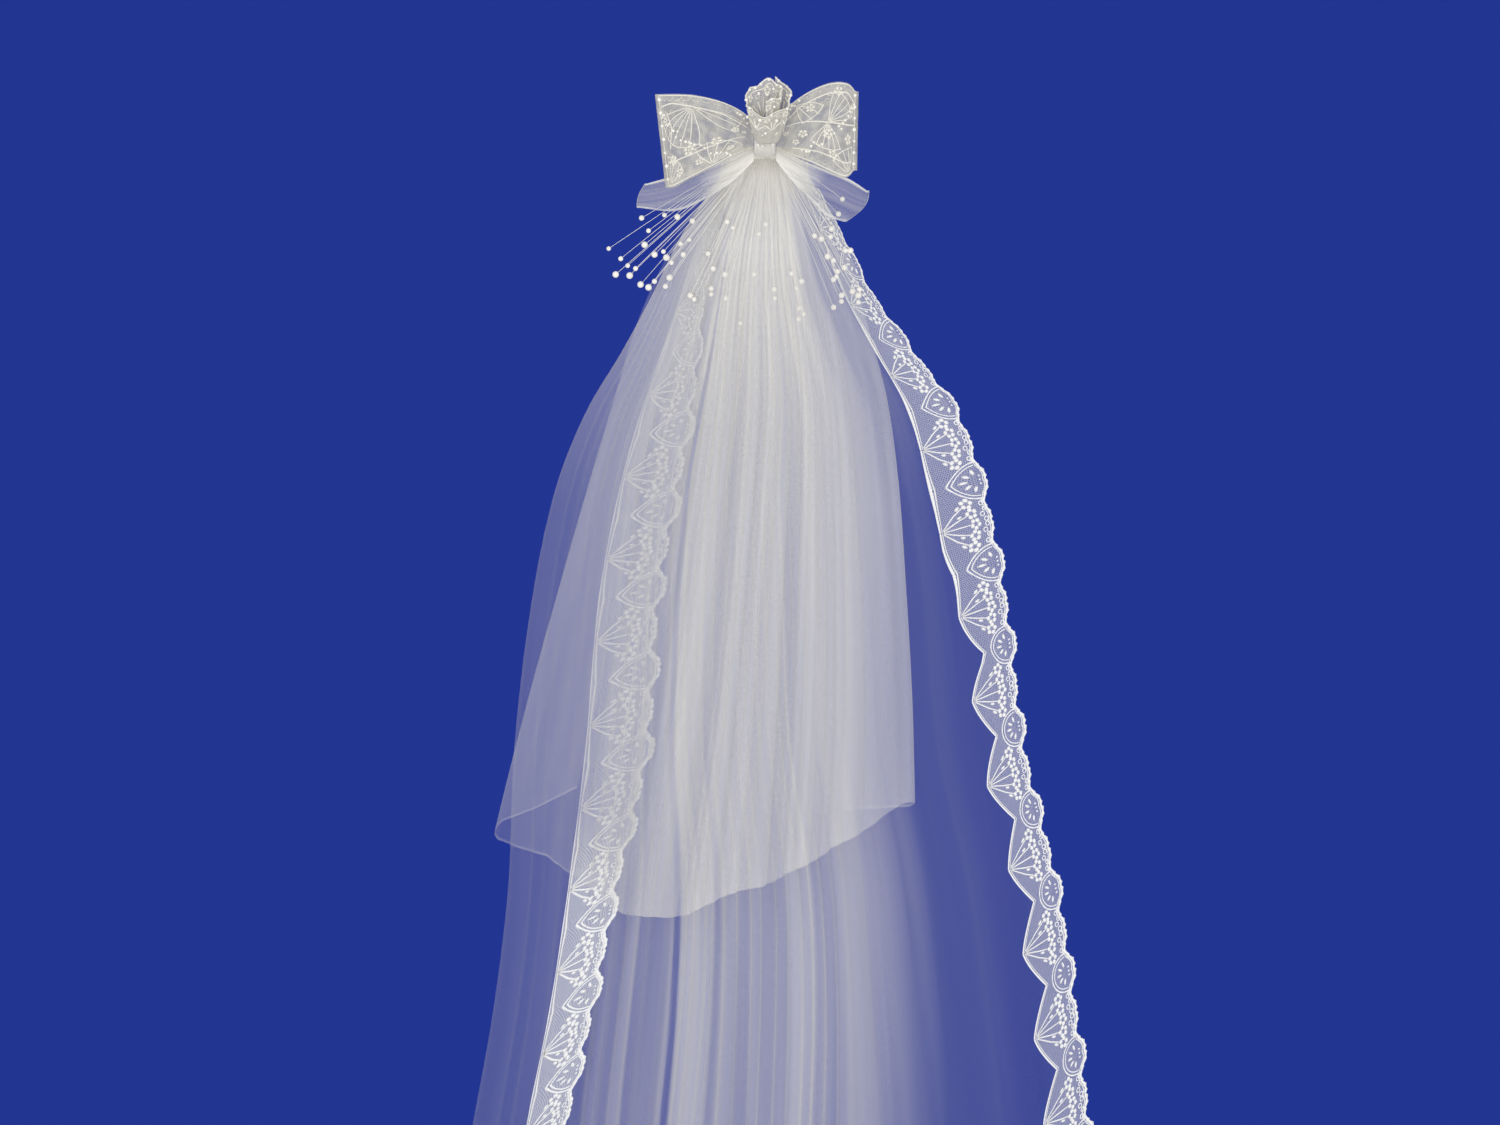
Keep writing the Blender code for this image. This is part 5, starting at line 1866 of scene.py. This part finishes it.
@dataclass(frozen=True)
class Studio:
    """The camera at the photograph's angle, soft light, a plain backdrop colour and a pale floor."""

    camera_place: tuple[float, float, float] = (-0.015, -6.30, -0.4145)
    lens: float = 150.0
    floor_z: float = -1.46
    floor_radius: float = 1.30
    light_power: float = 19.5
    ambient: float = 0.56
    backdrop: tuple[float, float, float] = (0.016, 0.036, 0.285)

    def build(self) -> None:
        """Place everything that isn't part of the veil."""
        scene = bpy.context.scene
        camera = bpy.data.objects.new("camera", bpy.data.cameras.new("camera"))
        camera.location = self.camera_place
        camera.rotation_euler = (math.pi / 2, 0.0, 0.0)
        camera.data.lens = self.lens
        camera.data.sensor_width = 36.0
        camera.data.clip_start = 0.05
        scene.collection.objects.link(camera)
        scene.camera = camera
        for name, x, z, share in (
            ("key", -1.5, 0.6, 0.85),
            ("fill", 1.6, 0.1, 0.6),
            ("front", 0.0, -1.0, 1.1),
        ):
            lamp = bpy.data.lights.new(name, "AREA")
            lamp.shape = "DISK"
            lamp.size = 2.2
            lamp.energy = self.light_power * share
            holder = bpy.data.objects.new(name, lamp)
            holder.location = (x, -2.4, z)
            aim = Vector((0.0, 0.0, -0.5)) - holder.location
            holder.rotation_euler = aim.to_track_quat("-Z", "Y").to_euler()
            scene.collection.objects.link(holder)
        self._backdrop(scene)
        self._floor()
        scene.view_settings.view_transform = "Standard"
        scene.cycles.transparent_max_bounces = 64

    def _backdrop(self, scene: bpy.types.Scene) -> None:
        """A plain deep blue behind the veil, so its sheer white shows, and neutral light."""
        world = bpy.data.worlds.new("studio")
        world.use_nodes = True
        scene.world = world
        wires = Nodes(world.node_tree)
        soft = world.node_tree.nodes["Background"]
        soft.inputs["Color"].default_value = (1.0, 1.0, 1.0, 1.0)
        soft.inputs["Strength"].default_value = self.ambient
        seen = wires.add("ShaderNodeBackground")
        seen.inputs["Color"].default_value = rgba(self.backdrop)
        path = wires.add("ShaderNodeLightPath")
        mix = wires.add("ShaderNodeMixShader")
        wires.link(path.outputs["Is Camera Ray"], mix.inputs[0])
        wires.link(soft.outputs[0], mix.inputs[1])
        wires.link(seen.outputs[0], mix.inputs[2])
        wires.link(mix.outputs[0], world.node_tree.nodes["World Output"].inputs[0])

    def _floor(self) -> None:
        """A pale round floor under the veil."""
        bench = bmesh.new()
        bmesh.ops.create_circle(bench, cap_ends=True, segments=96, radius=self.floor_radius)
        bmesh.ops.translate(bench, vec=(0.0, 0.0, self.floor_z), verts=bench.verts[:])
        mesh = bpy.data.meshes.new("floor")
        bench.to_mesh(mesh)
        bench.free()
        floor = bpy.data.objects.new("floor", mesh)
        paint = GlossFinish("floor_paint", (0.80, 0.80, 0.79), (0.76, 0.76, 0.76), 0.6, 0.0, 3.0)
        floor.data.materials.append(paint.build())
        bpy.context.scene.collection.objects.link(floor)


def main() -> None:
    """Build the studio and every piece of the veil, in order."""
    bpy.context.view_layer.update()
    Studio().build()
    effects = Effects()
    tulle = SheerFinish("veil_tulle", (0.775, 0.762, 0.742), (0.740, 0.732, 0.726), 30.0, 0.10).build(effects)
    pouf_tulle = SheerFinish("loop_tulle", (0.76, 0.75, 0.72), (0.70, 0.69, 0.67), 150.0, 0.22).build(effects)
    edging_net = NetFinish(
        "edging_net", (0.78, 0.78, 0.80), (0.72, 0.73, 0.76), 0.12, 0.34, follows_cover=True
    ).build(effects)
    edging_thread = ThreadFinish(
        "edging_thread", (0.96, 0.96, 0.96), (0.84, 0.84, 0.87), follows_cover=True
    ).build(effects)
    bow_net = NetFinish(
        "bow_net", (0.63, 0.61, 0.545), (0.57, 0.56, 0.51), 0.46, 0.78, 600.0, 0.30
    ).build(effects)
    curl_net = NetFinish(
        "curl_net", (0.61, 0.59, 0.53), (0.54, 0.525, 0.475), 0.70, 0.90, 600.0, 0.10
    ).build(effects)
    gather = NetFinish("gather_net", (0.84, 0.82, 0.77), (0.76, 0.74, 0.70), 0.90, 0.98, 620.0).build(effects)
    bow_thread = ThreadFinish("bow_thread", (0.87, 0.84, 0.755), (0.77, 0.74, 0.665)).build(effects)
    pearl = GlossFinish("pearl_lustre", (0.97, 0.95, 0.90), (0.91, 0.88, 0.82), 0.26, 0.6, 220.0).build()
    comb_plastic = GlossFinish(
        "comb_plastic", (0.88, 0.88, 0.86), (0.82, 0.83, 0.82), 0.30, 0.2, 60.0, 0.35
    ).build()

    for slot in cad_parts["comb"].material_slots:
        slot.material = comb_plastic

    long_tier = Tier(
        "long_tier", LONG_RAILS, LONG_FOLDS, LONG_HEM, LONG_LAYERS, (1.25, 1.37), 1.30, 11, 0.6, 0.581, top_share=2.0
    )
    short_tier = Tier(
        "short_tier", SHORT_RAILS, SHORT_FOLDS, SHORT_HEM, SHORT_LAYERS, (0.80, 0.77), 0.46, 23, 1.0, 0.360,
        top_share=0.10,
    )
    long_cloth = long_tier.make(tulle)
    short_cloth = short_tier.make(tulle)
    side_band("lace_left", long_tier, False).make(edging_net, edging_thread, "lace_left")
    side_band("lace_right", long_tier, True).make(edging_net, edging_thread, "lace_right")
    hem_band("lace_hem", long_tier).make(edging_net, edging_thread, "lace_hem")

    loops = (("pouf_left", POUF_LEFT, -1.0, 0.0025, 0.19), ("pouf_right", POUF_RIGHT, 1.0, 0.0070, 0.17))
    for name, stations, side, rounding, sheer in loops:
        loop = Loop(name, stations, POUF_Y, POUF_FOLD_OUT, side, 0.0008, 7.0, 0.0006, rounding)
        cover = np.full(loop.points.shape[:2], sheer)
        cover[:, :2] = 0.65
        cover[:, -2:] = 0.50
        cover[len(cover) // 2 - 1 : len(cover) // 2 + 2] = 0.70
        reach = np.minimum(np.arange(len(cover)), np.arange(len(cover))[::-1]) / (len(cover) / 2)
        cover = np.maximum(cover, (0.86 - 1.5 * reach)[:, None])
        loop.cloth = loop.cloth[:, :, ::-1]
        cloth = loop.make(pouf_tulle, cover, Slot.TULLE)
    left_wing = BowWing("bow_left", BOW_LEFT, -1.0, 5, LEFT_FANS, LEFT_BEADS, LEFT_FLOWERS)
    left_wing.make(bow_net, bow_thread, pearl)
    right_wing = BowWing("bow_right", BOW_RIGHT, 1.0, 7, RIGHT_FANS, RIGHT_BEADS, RIGHT_FLOWERS)
    right_wing.make(bow_net, bow_thread, pearl)
    Curl().make(curl_net, bow_thread, pearl)
    Knot().make(gather, pearl)
    PearlSpray("pearls_left", -1.0, SPRAY_LEFT).make(pearl)
    PearlSpray("pearls_right", 1.0, SPRAY_RIGHT).make(pearl)
    CombStitches().make(bow_thread)


if __name__ == "__main__":
    main()
